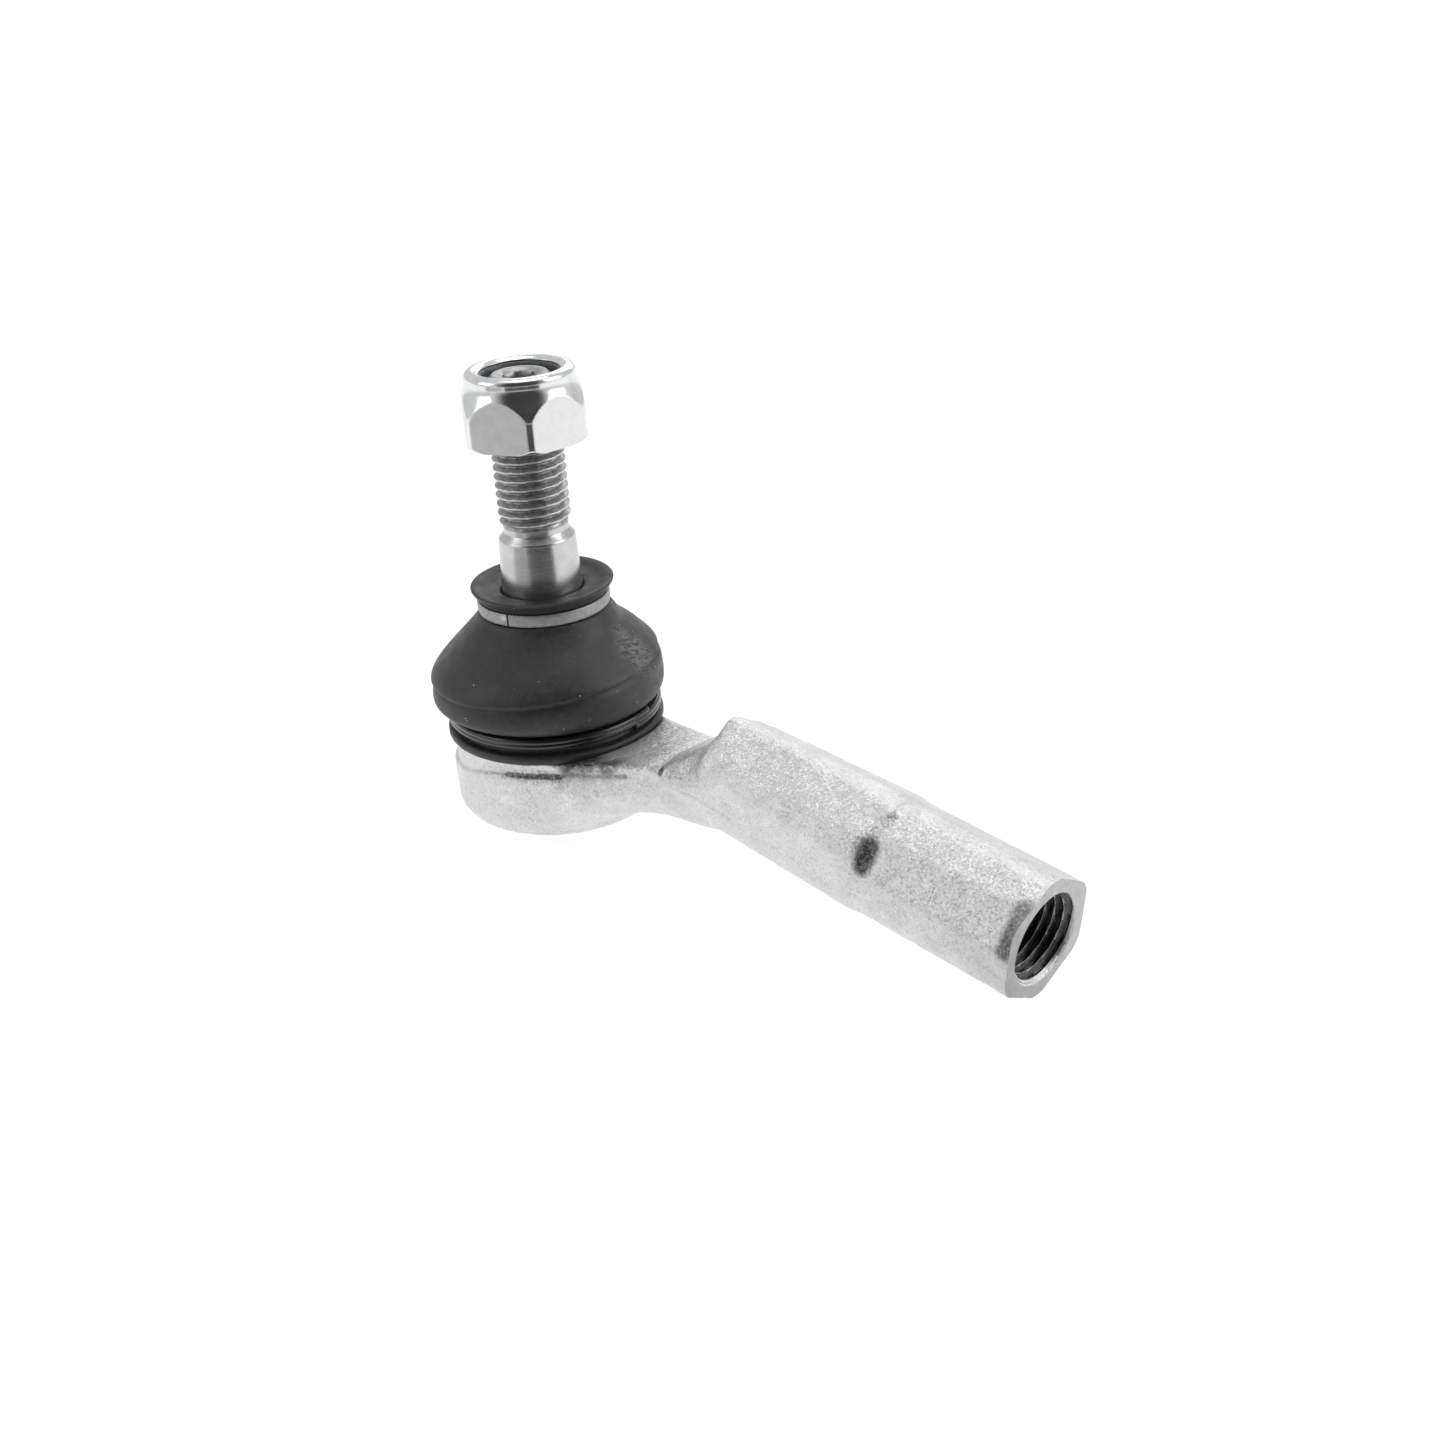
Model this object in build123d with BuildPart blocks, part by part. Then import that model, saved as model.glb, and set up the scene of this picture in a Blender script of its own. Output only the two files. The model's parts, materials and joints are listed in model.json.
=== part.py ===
"""Steering tie rod end: a forged housing with a ball joint, a sealed boot and a self-locking nut.

Millimetres. The origin is the centre of the ball. +Z runs up the stud as it stands at rest and
+X points from the head towards the threaded barrel. The XZ plane is the symmetry plane.
"""

import os
from math import cos, radians, sin, sqrt, tan

from build123d import *

os.makedirs("parts", exist_ok=True)

# ---- driving dimensions -------------------------------------------------------------------
BALL_R = 10.0  # 20 mm ball
RUNNING = 0.03  # radial clearance of the ball in its seat, and of the stud foot on the ball
TOUCH = 0.15  # gap kept between the rubber and the pieces that turn against it

# Head of the housing
HEAD_R = 18.0  # below the die line
HEAD_UPPER_R = 17.6  # above the die line
DIE_LINE_Z = -2.2  # where the two forging dies met
HEAD_BOTTOM_Z = -13.0
HEAD_EDGE_R = 3.6  # round of the bottom edge
SHOULDER_Z = 1.7  # the boot stands on this face
BOOT_LAND_R = 15.9  # turned land inside the foot of the boot
LAND_FLANGE_R = 16.5
LAND_FLANGE_Z = 5.4
HEAD_TOP_Z = 6.6
MOUTH_R = 9.3  # the ball cannot pass this opening
MOUTH_TOP_R = 11.0
CAVITY_R = 13.2
CAVITY_TOP_Z = 5.0
PLATE_SEAT_Z = -10.9
PLATE_R = 14.2
PLATE_T = 1.3
CURL_R = 12.9  # inside of the lip that is rolled over the cover plate

# Barrel of the housing
BARREL_DROP = 7.5  # degrees that the barrel leans down, away from the head
BARREL_RISE = 10.3  # height of the barrel axis where it crosses the head axis
BARREL_END = 101.9  # distance along the barrel axis to the end face
HEX_START = 75.0  # the spanner section runs from here to the end face
HEX_AF = 18.0
HEX_ROUND_R = 9.75  # the corners of the hexagon are turned to this radius
FLAT_AF = 17.0  # the two recessed spanner flats
FLAT_RIM = 1.3  # full section left at the mouth
BODY_START = 44.0
BODY_START_AF, BODY_START_R = 17.0, 9.35
BODY_END_AF, BODY_END_R = 18.8, 10.0
ROD_THREAD_D = 14.0  # M14 x 1.5
ROD_THREAD_DEPTH = 42.0
ROD_DRILL_D = 12.4
ROD_DRILL_DEPTH = 47.0
ROD_COUNTERSINK = 0.35

# Web between the head and the barrel
WEB_TOP_Z = 2.4
WEB_WALL = 33.0  # along the barrel axis: foot of the wall that climbs from the web to the barrel

# Stud
NECK_R = 5.6
TAPER_TOP_Z = 35.2
TAPER_TOP_R = 6.31
TAPER_LOW_Z = 21.0
TAPER_SLOPE = 0.05  # 1:10 on the diameter
RELIEF_R = 5.35
RELIEF_TOP_Z = 37.6
THREAD_R = 5.94  # M12 x 1.5, crests
THREAD_PITCH = 1.5
THREAD_DEPTH = 0.92
STUD_TOP_Z = 62.1
STUD_END_R = 4.4  # the end is chamfered down to this
SOCKET_AF = 5.0
SOCKET_DEPTH = 5.5

# Lock nut, M12 x 1.5 with a nylon ring
NUT_AF = 19.0
NUT_BOTTOM_Z = 51.4
NUT_CORNER_R = 10.8  # the corners are turned to this radius
NUT_DOME_Z = 56.4  # above this the corners run in as a dome
NUT_DOME_MID = (10.1, 58.9)
NUT_HEX_TOP_Z = 60.6
NUT_TOP_Z = 63.1
NUT_COLLAR_R = 9.0
NUT_CLEARANCE = 0.05
INSERT_Z = 59.2
INSERT_TOP_Z = 62.4
INSERT_R = 8.0

# Boot and its two rings
LIP_Z = 27.15
LIP_R = 11.9
CLIP_Z = 22.95
CLIP_W = 2.1
CLIP_IN_R = 10.25
CLIP_T = 0.8
CLIP_GAP_DEG = 6.0
CLIP_GAP_AT = -73.0  # direction of the split, from +X
PARTING_Z = 12.9  # mould parting line of the boot
PARTING_R = 19.5
BULGE_Z = 10.2
BULGE_R = 19.7
FOOT_R = 18.45
RING_Z = 4.9
RING_WIRE = 1.25
RING_MID_R = 17.6


# ---- frames and small helpers ---------------------------------------------------------------
DROP = radians(BARREL_DROP)
ALONG = (cos(DROP), 0, -sin(DROP))


def barrel_plane(distance):
    """Section plane across the barrel: local x is +Y, local y is up, local z runs to the mouth."""
    origin = (distance * cos(DROP), 0, BARREL_RISE - distance * sin(DROP))
    return Plane(origin=origin, x_dir=(0, 1, 0), z_dir=ALONG)


def taper_r(z):
    """Radius of the 1:10 taper of the stud at height z."""
    return TAPER_TOP_R + TAPER_SLOPE * (TAPER_TOP_Z - z)


def rounded_hex(across_flats, corner_r):
    """Hexagon with a flat on top and its corners turned to a radius; call inside a BuildSketch."""
    RegularPolygon(radius=across_flats / 2, side_count=6, major_radius=False, rotation=30)
    Circle(radius=corner_r, mode=Mode.INTERSECT)


# ---- housing: one steel forging, zinc plated -------------------------------------------------
with BuildPart() as housing:
    # Solid head, turned about the ball axis
    with BuildSketch(Plane.XZ):
        with BuildLine():
            edge_z = HEAD_BOTTOM_Z + HEAD_EDGE_R
            edge_r = HEAD_R - HEAD_EDGE_R
            Line((0, HEAD_BOTTOM_Z), (edge_r, HEAD_BOTTOM_Z))
            ThreePointArc(
                (edge_r, HEAD_BOTTOM_Z),
                (edge_r + HEAD_EDGE_R * sin(radians(45)), edge_z - HEAD_EDGE_R * cos(radians(45))),
                (HEAD_R, edge_z),
            )
            Polyline(
                (HEAD_R, edge_z),
                (HEAD_R, DIE_LINE_Z - 0.3),
                (HEAD_UPPER_R, DIE_LINE_Z + 0.3),
                (HEAD_UPPER_R - 0.15, SHOULDER_Z),
                (BOOT_LAND_R, SHOULDER_Z),
                (BOOT_LAND_R, LAND_FLANGE_Z),
                (LAND_FLANGE_R, LAND_FLANGE_Z + 0.3),
                (LAND_FLANGE_R - 0.3, HEAD_TOP_Z),
                (0, HEAD_TOP_Z),
                (0, HEAD_BOTTOM_Z),
            )
        make_face()
    revolve(axis=Axis.Z)

    # Lower half of the web: it grows out of the head and narrows into the barrel
    web_sections = (
        (9.0, 29.0, -11.6, -0.8, 4.0),
        (17.0, 25.5, -9.8, 0.6, 4.0),
        (25.0, 20.5, -5.9, 2.6, 4.0),
        (34.0, 17.4, -3.9, 4.4, 4.0),
        (44.0, 15.4, -3.4, 4.6, 3.9),
    )
    for x, width, low, high, corner in web_sections:
        with BuildSketch(Plane(origin=(x, 0, (low + high) / 2), x_dir=(0, 1, 0), z_dir=(1, 0, 0))):
            RectangleRounded(width, high - low, corner)
    loft()

    # Upper half of the web: a narrower flat-topped rib that runs into the barrel wall
    rib_sections = (
        (9.0, 26.5, -4.0, SHOULDER_Z - 0.1),
        (18.0, 22.5, -2.0, WEB_TOP_Z),
        (27.0, 17.6, -1.0, WEB_TOP_Z + 1.5),
        (38.0, 15.6, -1.0, WEB_TOP_Z + 2.4),
    )
    for x, width, low, high in rib_sections:
        with BuildSketch(Plane(origin=(x, 0, (low + high) / 2), x_dir=(0, 1, 0), z_dir=(1, 0, 0))):
            RectangleRounded(width, high - low, 1.4)
    loft()

    # Nose of the barrel: a sloping wall from the web up to the full section
    with BuildSketch(barrel_plane(WEB_WALL)):
        Polygon((-8.2, -3.6), (-4.8, -8.0), (4.8, -8.0), (8.2, -3.6), (6.4, -1.4), (-6.4, -1.4), align=None)
    with BuildSketch(barrel_plane(BODY_START)):
        Polygon((-9.3, 0), (-4.9, -8.2), (4.9, -8.2), (9.3, 0), (4.7, 8.4), (-4.7, 8.4), align=None)
    loft(ruled=True)

    # Turned band that leaves room for the foot of the boot all the way round
    with BuildSketch(Plane.XZ):
        with Locations(((BOOT_LAND_R + FOOT_R + 0.3) / 2, SHOULDER_Z + 4)):
            Rectangle(FOOT_R + 0.3 - BOOT_LAND_R, 8)
        with Locations(((BOOT_LAND_R + LAND_FLANGE_R) / 2, (LAND_FLANGE_Z + HEAD_TOP_Z) / 2 + 0.1)):
            Rectangle(LAND_FLANGE_R - BOOT_LAND_R, HEAD_TOP_Z - LAND_FLANGE_Z + 0.2, mode=Mode.SUBTRACT)
    revolve(axis=Axis.Z, mode=Mode.SUBTRACT)

    # Tapered body of the barrel, then the hexagonal spanner section
    with BuildSketch(barrel_plane(BODY_START - 2)):
        rounded_hex(BODY_START_AF, BODY_START_R)
    with BuildSketch(barrel_plane(HEX_START)):
        rounded_hex(BODY_END_AF, BODY_END_R)
    loft()
    with BuildSketch(barrel_plane(HEX_START - 1)):
        rounded_hex(HEX_AF, HEX_ROUND_R)
    extrude(amount=BARREL_END - HEX_START + 1)

    # Two spanner flats, recessed between the body and a narrow rim at the mouth
    flat_length = BARREL_END - FLAT_RIM - HEX_START
    for angle in (150, -30):
        with BuildSketch(barrel_plane(HEX_START)):
            with Locations(Location((0, 0, 0), (0, 0, angle))):
                with Locations((FLAT_AF / 2 + 3, 0)):
                    Rectangle(6, 30)
        extrude(amount=flat_length, mode=Mode.SUBTRACT)

    # Ball cavity, cover plate seat and the mouth that the stud leans in
    with BuildSketch(Plane.XZ):
        with BuildLine():
            Polyline(
                (0, HEAD_BOTTOM_Z - 1),
                (CURL_R, HEAD_BOTTOM_Z - 1),
                (CURL_R, PLATE_SEAT_Z - PLATE_T),
                (PLATE_R, PLATE_SEAT_Z - PLATE_T),
                (PLATE_R, PLATE_SEAT_Z),
                (CAVITY_R, PLATE_SEAT_Z),
                (CAVITY_R, CAVITY_TOP_Z),
                (MOUTH_R, CAVITY_TOP_Z),
                (MOUTH_TOP_R, HEAD_TOP_Z + 0.1),
                (0, HEAD_TOP_Z + 0.1),
                (0, HEAD_BOTTOM_Z - 1),
            )
        make_face()
    revolve(axis=Axis.Z, mode=Mode.SUBTRACT)

    # Rod thread, drawn as a plain bore of the thread's outside diameter
    with BuildSketch(barrel_plane(BARREL_END)):
        Circle(ROD_THREAD_D / 2)
    extrude(amount=-ROD_THREAD_DEPTH, mode=Mode.SUBTRACT)
    with BuildSketch(barrel_plane(BARREL_END)):
        Circle(ROD_THREAD_D / 2 + ROD_COUNTERSINK)
    extrude(amount=-ROD_COUNTERSINK, taper=45, mode=Mode.SUBTRACT)
    with BuildSketch(barrel_plane(BARREL_END - ROD_THREAD_DEPTH + 0.5)):
        Circle(ROD_DRILL_D / 2)
    extrude(amount=ROD_THREAD_DEPTH - 0.5 - ROD_DRILL_DEPTH, mode=Mode.SUBTRACT)
housing.part.label = "housing"
export_step(housing.part, "parts/housing.step")


# ---- ball seat: one plastic shell round the ball ---------------------------------------------
with BuildPart() as ball_seat:
    with BuildSketch(Plane.XZ):
        with Locations(((CAVITY_R - 0.02) / 2, (PLATE_SEAT_Z + CAVITY_TOP_Z) / 2)):
            Rectangle(CAVITY_R - 0.02, CAVITY_TOP_Z - PLATE_SEAT_Z - 0.02)
    revolve(axis=Axis.Z)
    Sphere(BALL_R + RUNNING, mode=Mode.SUBTRACT)
    # Grease pocket under the ball and six grease grooves in the wall
    with Locations((0, 0, PLATE_SEAT_Z)):
        Cylinder(radius=3.0, height=4, mode=Mode.SUBTRACT)
    for turn in range(6):
        with BuildSketch(Plane.XZ.rotated((0, 0, 60 * turn))):
            with BuildLine():
                CenterArc((0, 0), BALL_R + 0.75, -80, 105)
                Line(
                    ((BALL_R + 0.75) * cos(radians(25)), (BALL_R + 0.75) * sin(radians(25))),
                    ((BALL_R - 1.5) * cos(radians(25)), (BALL_R - 1.5) * sin(radians(25))),
                )
                CenterArc((0, 0), BALL_R - 1.5, -80, 105)
                Line(
                    ((BALL_R + 0.75) * cos(radians(80)), -(BALL_R + 0.75) * sin(radians(80))),
                    ((BALL_R - 1.5) * cos(radians(80)), -(BALL_R - 1.5) * sin(radians(80))),
                )
            make_face()
        extrude(amount=0.8, both=True, mode=Mode.SUBTRACT)
ball_seat.part.label = "ball_seat"
export_step(ball_seat.part, "parts/ball_seat.step")


# ---- cover plate: pressed steel disc held by the rolled lip ------------------------------------
with BuildPart() as cover_plate:
    with BuildSketch(Plane.XZ):
        with BuildLine():
            Polyline(
                (0, PLATE_SEAT_Z - 0.02),
                (PLATE_R - 0.02, PLATE_SEAT_Z - 0.02),
                (PLATE_R - 0.02, PLATE_SEAT_Z - PLATE_T + 0.02),
                (11.6, PLATE_SEAT_Z - PLATE_T + 0.02),
                (10.8, PLATE_SEAT_Z - PLATE_T - 0.45),
                (0, PLATE_SEAT_Z - PLATE_T - 0.45),
                (0, PLATE_SEAT_Z - 0.02),
            )
        make_face()
    revolve(axis=Axis.Z)
cover_plate.part.label = "cover_plate"
export_step(cover_plate.part, "parts/cover_plate.step")


# ---- ball --------------------------------------------------------------------------------------
with BuildPart() as ball:
    Sphere(BALL_R)
ball.part.label = "ball"
export_step(ball.part, "parts/ball.step")


# ---- stud: neck, 1:10 taper, M12 x 1.5 thread and a hexagon socket ------------------------------
thread_root_r = THREAD_R - THREAD_DEPTH
flank = THREAD_DEPTH * tan(radians(30))
crest = THREAD_PITCH / 8
root = THREAD_PITCH - 2 * flank - crest
turns = int((STUD_TOP_Z - 0.9 - RELIEF_TOP_Z) / THREAD_PITCH)
foot_r = BALL_R + RUNNING
foot_z = sqrt(foot_r**2 - NECK_R**2)
with BuildPart() as stud:
    with BuildSketch(Plane.XZ):
        with BuildLine():
            ThreePointArc((0, foot_r), (foot_r * sin(radians(16)), foot_r * cos(radians(16))), (NECK_R, foot_z))
            Polyline(
                (NECK_R, foot_z),
                (NECK_R, 16.0),
                (taper_r(TAPER_LOW_Z) - 0.3, TAPER_LOW_Z - 1.2),
                (taper_r(TAPER_LOW_Z), TAPER_LOW_Z),
                (TAPER_TOP_R, TAPER_TOP_Z),
                (RELIEF_R, TAPER_TOP_Z + 1.0),
                (RELIEF_R, RELIEF_TOP_Z),
            )
            # Thread drawn as rings of the real pitch and depth, one per turn
            at_r, at_z = RELIEF_R, RELIEF_TOP_Z
            for turn in range(turns):
                low = RELIEF_TOP_Z + turn * THREAD_PITCH
                ring = (
                    (thread_root_r, low + root / 2),
                    (THREAD_R, low + root / 2 + flank),
                    (THREAD_R, low + root / 2 + flank + crest),
                    (thread_root_r, low + root / 2 + 2 * flank + crest),
                )
                for r, z in ring:
                    Line((at_r, at_z), (r, z))
                    at_r, at_z = r, z
            Polyline(
                (at_r, at_z),
                (thread_root_r, STUD_TOP_Z - 0.45),
                (STUD_END_R, STUD_TOP_Z),
                (0, STUD_TOP_Z),
                (0, foot_r),
            )
        make_face()
    revolve(axis=Axis.Z)
    with BuildSketch(Plane.XY.offset(STUD_TOP_Z)):
        RegularPolygon(radius=SOCKET_AF / 2, side_count=6, major_radius=False)
    extrude(amount=-SOCKET_DEPTH, mode=Mode.SUBTRACT)
stud.part.label = "stud"
export_step(stud.part, "parts/stud.step")


# ---- dust boot: one rubber bell ------------------------------------------------------------------
groove_r = CLIP_IN_R - TOUCH
foot_top_z = RING_Z + RING_WIRE + 0.75
with BuildPart() as dust_boot:
    with BuildSketch(Plane.XZ):
        with BuildLine():
            # Outside, from the foot up to the lip
            Polyline(
                (FOOT_R, SHOULDER_Z + 0.02),
                (FOOT_R, SHOULDER_Z + 1.2),
                (RING_MID_R - RING_WIRE / 2 - 0.05, SHOULDER_Z + 1.5),
                (RING_MID_R - RING_WIRE / 2 - 0.05, foot_top_z),
                (17.9, foot_top_z + 0.3),
            )
            Spline((17.9, foot_top_z + 0.3), (19.2, BULGE_Z - 1.8), (BULGE_R, BULGE_Z))
            Line((BULGE_R, BULGE_Z), (PARTING_R, PARTING_Z))
            Spline((PARTING_R, PARTING_Z), (18.0, 15.1), (14.8, 18.35), (11.1, CLIP_Z - 0.4))
            Polyline(
                (11.1, CLIP_Z - 0.4),
                (groove_r, CLIP_Z - TOUCH),
                (groove_r, CLIP_Z + CLIP_W + TOUCH),
                (10.7, CLIP_Z + CLIP_W + TOUCH),
                (LIP_R - 0.1, LIP_Z - 0.75),
                (LIP_R, LIP_Z),
                (10.6, LIP_Z - 0.15),
                (taper_r(LIP_Z - 0.9) + 1.2, LIP_Z - 0.9),
                (taper_r(LIP_Z - 0.9) + TOUCH, LIP_Z - 0.7),
            )
            # Inside, from the lip back down to the foot
            Line((taper_r(LIP_Z - 0.9) + TOUCH, LIP_Z - 0.7), (taper_r(CLIP_Z) + TOUCH, CLIP_Z - 0.2))
            Spline(
                (taper_r(CLIP_Z) + TOUCH, CLIP_Z - 0.2),
                (13.2, 17.9),
                (16.6, 14.3),
                (17.9, BULGE_Z + 0.6),
            )
            Spline((17.9, BULGE_Z + 0.6), (17.7, BULGE_Z - 1.0), (16.5, foot_top_z + 0.6))
            Polyline(
                (16.5, foot_top_z + 0.6),
                (BOOT_LAND_R + 0.7, LAND_FLANGE_Z + 1.2),
                (BOOT_LAND_R + 0.7, LAND_FLANGE_Z - 0.2),
                (BOOT_LAND_R + 0.02, LAND_FLANGE_Z - 0.3),
                (BOOT_LAND_R + 0.02, SHOULDER_Z + 0.02),
                (FOOT_R, SHOULDER_Z + 0.02),
            )
        make_face()
    revolve(axis=Axis.Z)
dust_boot.part.label = "dust_boot"
export_step(dust_boot.part, "parts/dust_boot.step")


# ---- upper boot clip: flat split spring ring -------------------------------------------------------
with BuildPart() as boot_clip:
    with BuildSketch(Plane.XY.offset(CLIP_Z)):
        Circle(CLIP_IN_R + CLIP_T)
        Circle(CLIP_IN_R, mode=Mode.SUBTRACT)
        with Locations(Location((0, 0, 0), (0, 0, CLIP_GAP_AT))):
            with Locations((CLIP_IN_R, 0)):
                Rectangle(4, 2 * CLIP_IN_R * sin(radians(CLIP_GAP_DEG / 2)), mode=Mode.SUBTRACT)
    extrude(amount=CLIP_W)
boot_clip.part.label = "boot_clip"
export_step(boot_clip.part, "parts/boot_clip.step")


# ---- lower boot ring: black spring wire, two turns ----------------------------------------------------
with BuildPart() as boot_ring:
    with BuildSketch(Plane.XZ):
        with Locations((RING_MID_R, RING_Z - 0.45 * RING_WIRE), (RING_MID_R, RING_Z + 0.45 * RING_WIRE)):
            Circle(RING_WIRE / 2)
    revolve(axis=Axis.Z)
boot_ring.part.label = "boot_ring"
export_step(boot_ring.part, "parts/boot_ring.step")


# ---- lock nut, drawn with a plain bore of the thread's outside diameter ---------------------------------
nut_bore_r = THREAD_R + NUT_CLEARANCE
with BuildPart() as lock_nut:
    with BuildSketch(Plane.XY.offset(NUT_BOTTOM_Z)):
        RegularPolygon(radius=NUT_AF / 2, side_count=6, major_radius=False, rotation=25)
    extrude(amount=NUT_TOP_Z - NUT_BOTTOM_Z)
    # Chamfered bottom corners, domed top corners and the round collar that holds the nylon ring
    with BuildSketch(Plane.XZ):
        with BuildLine():
            Polyline(
                (NUT_AF / 2 + 0.5, NUT_BOTTOM_Z),
                (NUT_CORNER_R, NUT_BOTTOM_Z + 0.45),
                (NUT_CORNER_R, NUT_DOME_Z),
            )
            Spline(
                (NUT_CORNER_R, NUT_DOME_Z),
                NUT_DOME_MID,
                (NUT_COLLAR_R, NUT_HEX_TOP_Z),
                tangents=((0, 1), (0, 1)),
            )
            Line((NUT_COLLAR_R, NUT_HEX_TOP_Z), (NUT_COLLAR_R, NUT_TOP_Z - 1.3))
            ThreePointArc(
                (NUT_COLLAR_R, NUT_TOP_Z - 1.3),
                (NUT_COLLAR_R - 0.45, NUT_TOP_Z - 0.35),
                (NUT_COLLAR_R - 1.4, NUT_TOP_Z),
            )
            Polyline(
                (NUT_COLLAR_R - 1.4, NUT_TOP_Z),
                (0, NUT_TOP_Z),
                (0, NUT_BOTTOM_Z),
                (NUT_AF / 2 + 0.5, NUT_BOTTOM_Z),
            )
        make_face()
    revolve(axis=Axis.Z, mode=Mode.INTERSECT)
    with BuildSketch(Plane.XZ):
        with BuildLine():
            Polyline(
                (0, NUT_BOTTOM_Z - 0.1),
                (nut_bore_r + 0.5, NUT_BOTTOM_Z - 0.1),
                (nut_bore_r + 0.5, NUT_BOTTOM_Z),
                (nut_bore_r, NUT_BOTTOM_Z + 0.5),
                (nut_bore_r, INSERT_Z),
                (INSERT_R, INSERT_Z),
                (INSERT_R, INSERT_TOP_Z),
                (6.6, INSERT_TOP_Z + 0.1),
                (6.6, NUT_TOP_Z + 0.1),
                (0, NUT_TOP_Z + 0.1),
                (0, NUT_BOTTOM_Z - 0.1),
            )
        make_face()
    revolve(axis=Axis.Z, mode=Mode.SUBTRACT)
lock_nut.part.label = "lock_nut"
export_step(lock_nut.part, "parts/lock_nut.step")


# ---- nylon ring clamped in the collar of the nut ----------------------------------------------------------
with BuildPart() as nut_insert:
    with BuildSketch(Plane.XY.offset(INSERT_Z + 0.03)):
        Circle(INSERT_R - 0.05)
        Circle(nut_bore_r, mode=Mode.SUBTRACT)
    extrude(amount=INSERT_TOP_Z - INSERT_Z - 0.06)
nut_insert.part.label = "nut_insert"
export_step(nut_insert.part, "parts/nut_insert.step")
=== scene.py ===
"""Visual model of the tie rod end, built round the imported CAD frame, whose origin is the ball's centre."""

import json
import math

import bmesh
import bpy
import numpy as np
from mathutils import Matrix, Vector, noise

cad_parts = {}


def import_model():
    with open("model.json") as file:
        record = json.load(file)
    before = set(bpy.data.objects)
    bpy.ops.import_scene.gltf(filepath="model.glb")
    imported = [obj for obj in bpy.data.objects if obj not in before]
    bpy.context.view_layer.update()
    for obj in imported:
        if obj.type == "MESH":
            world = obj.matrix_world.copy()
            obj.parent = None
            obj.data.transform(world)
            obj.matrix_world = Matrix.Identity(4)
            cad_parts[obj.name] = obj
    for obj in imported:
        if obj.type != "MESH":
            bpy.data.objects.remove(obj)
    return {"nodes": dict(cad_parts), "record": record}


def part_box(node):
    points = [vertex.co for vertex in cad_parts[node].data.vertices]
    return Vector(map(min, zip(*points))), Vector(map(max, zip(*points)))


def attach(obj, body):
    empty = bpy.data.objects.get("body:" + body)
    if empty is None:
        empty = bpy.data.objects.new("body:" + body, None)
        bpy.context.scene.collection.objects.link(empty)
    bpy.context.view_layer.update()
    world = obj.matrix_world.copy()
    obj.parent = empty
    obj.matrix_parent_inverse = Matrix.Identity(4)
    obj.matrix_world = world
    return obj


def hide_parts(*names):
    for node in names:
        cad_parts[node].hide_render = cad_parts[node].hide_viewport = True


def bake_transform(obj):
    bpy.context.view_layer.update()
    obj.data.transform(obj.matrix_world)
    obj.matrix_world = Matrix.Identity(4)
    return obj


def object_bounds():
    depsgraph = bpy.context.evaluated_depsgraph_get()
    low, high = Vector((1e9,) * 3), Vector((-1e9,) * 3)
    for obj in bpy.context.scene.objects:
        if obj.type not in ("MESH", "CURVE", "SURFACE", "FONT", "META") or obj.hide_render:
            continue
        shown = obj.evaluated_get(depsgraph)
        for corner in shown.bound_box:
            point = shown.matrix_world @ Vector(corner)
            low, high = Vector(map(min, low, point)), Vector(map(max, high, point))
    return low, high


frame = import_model()
cad_lo, cad_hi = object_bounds()
nodes = frame["nodes"]
MM = 0.001

# ---- frame facts, in millimetres ----


def node_box(name):
    """Lowest and highest corner of a CAD node, in millimetres."""
    low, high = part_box(name)
    return np.array(low) / MM, np.array(high) / MM


mounts = {m["name"]: m for m in frame["record"]["mounts"]}
MOUTH_SETBACK = 0.4  # the rod thread's mount sits this far inside the end face
AXIS = np.array(mounts["rod_thread"]["axis"], float)
AXIS /= np.linalg.norm(AXIS)
MOUTH = np.array(mounts["rod_thread"]["pos_m"], float) / MM + AXIS * MOUTH_SETBACK
ROD_R = mounts["rod_thread"]["dims"]["r_mm"]
SIDE = np.array([0.0, 1.0, 0.0])
UP = np.cross(AXIS, SIDE)

boot_low, boot_high = node_box("dust_boot")
clip_low, clip_high = node_box("boot_clip")
ring_low, ring_high = node_box("boot_ring")
nut_low, nut_high = node_box("lock_nut")
insert_low, insert_high = node_box("nut_insert")
stud_low, stud_high = node_box("stud")


# ---- mesh helpers ----
def new_object(name, data):
    """An object for a mesh, light or camera, linked into the scene."""
    obj = bpy.data.objects.new(name, data)
    bpy.context.scene.collection.objects.link(obj)
    return obj


def mesh_object(name, verts, faces, material, sharp=40.0):
    """A smooth-shaded mesh object from vertices in millimetres."""
    data = bpy.data.meshes.new(name)
    data.from_pydata((np.asarray(verts, float) * MM).tolist(), [], faces)
    data.validate()
    bm = bmesh.new()
    bm.from_mesh(data)
    bmesh.ops.recalc_face_normals(bm, faces=bm.faces)
    bm.to_mesh(data)
    bm.free()
    data.shade_smooth()
    data.set_sharp_from_angle(angle=math.radians(sharp))
    obj = new_object(name, data)
    if material is not None:
        data.materials.append(material)
    return obj


def ring_faces(rings, count, closed):
    """Quads between neighbouring rings of count points; closed joins the last ring to the first."""
    faces = []
    for i in range(rings if closed else rings - 1):
        a, b = i * count, (i + 1) % rings * count
        for k in range(count):
            n = (k + 1) % count
            faces.append((a + k, a + n, b + n, b + k))
    return faces


def rings_object(name, rings, material, closed=False, sharp=40.0):
    """Skins a list of rings; an open list is capped with a fan at each end."""
    count = len(rings[0])
    verts = np.concatenate(rings)
    faces = ring_faces(len(rings), count, closed)
    if not closed:
        first, last = len(verts), len(verts) + 1
        verts = np.vstack([verts, rings[0].mean(0), rings[-1].mean(0)])
        base = (len(rings) - 1) * count
        for k in range(count):
            n = (k + 1) % count
            faces.append((first, n, k))
            faces.append((last, base + k, base + n))
    return mesh_object(name, verts, faces, material, sharp)


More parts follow.
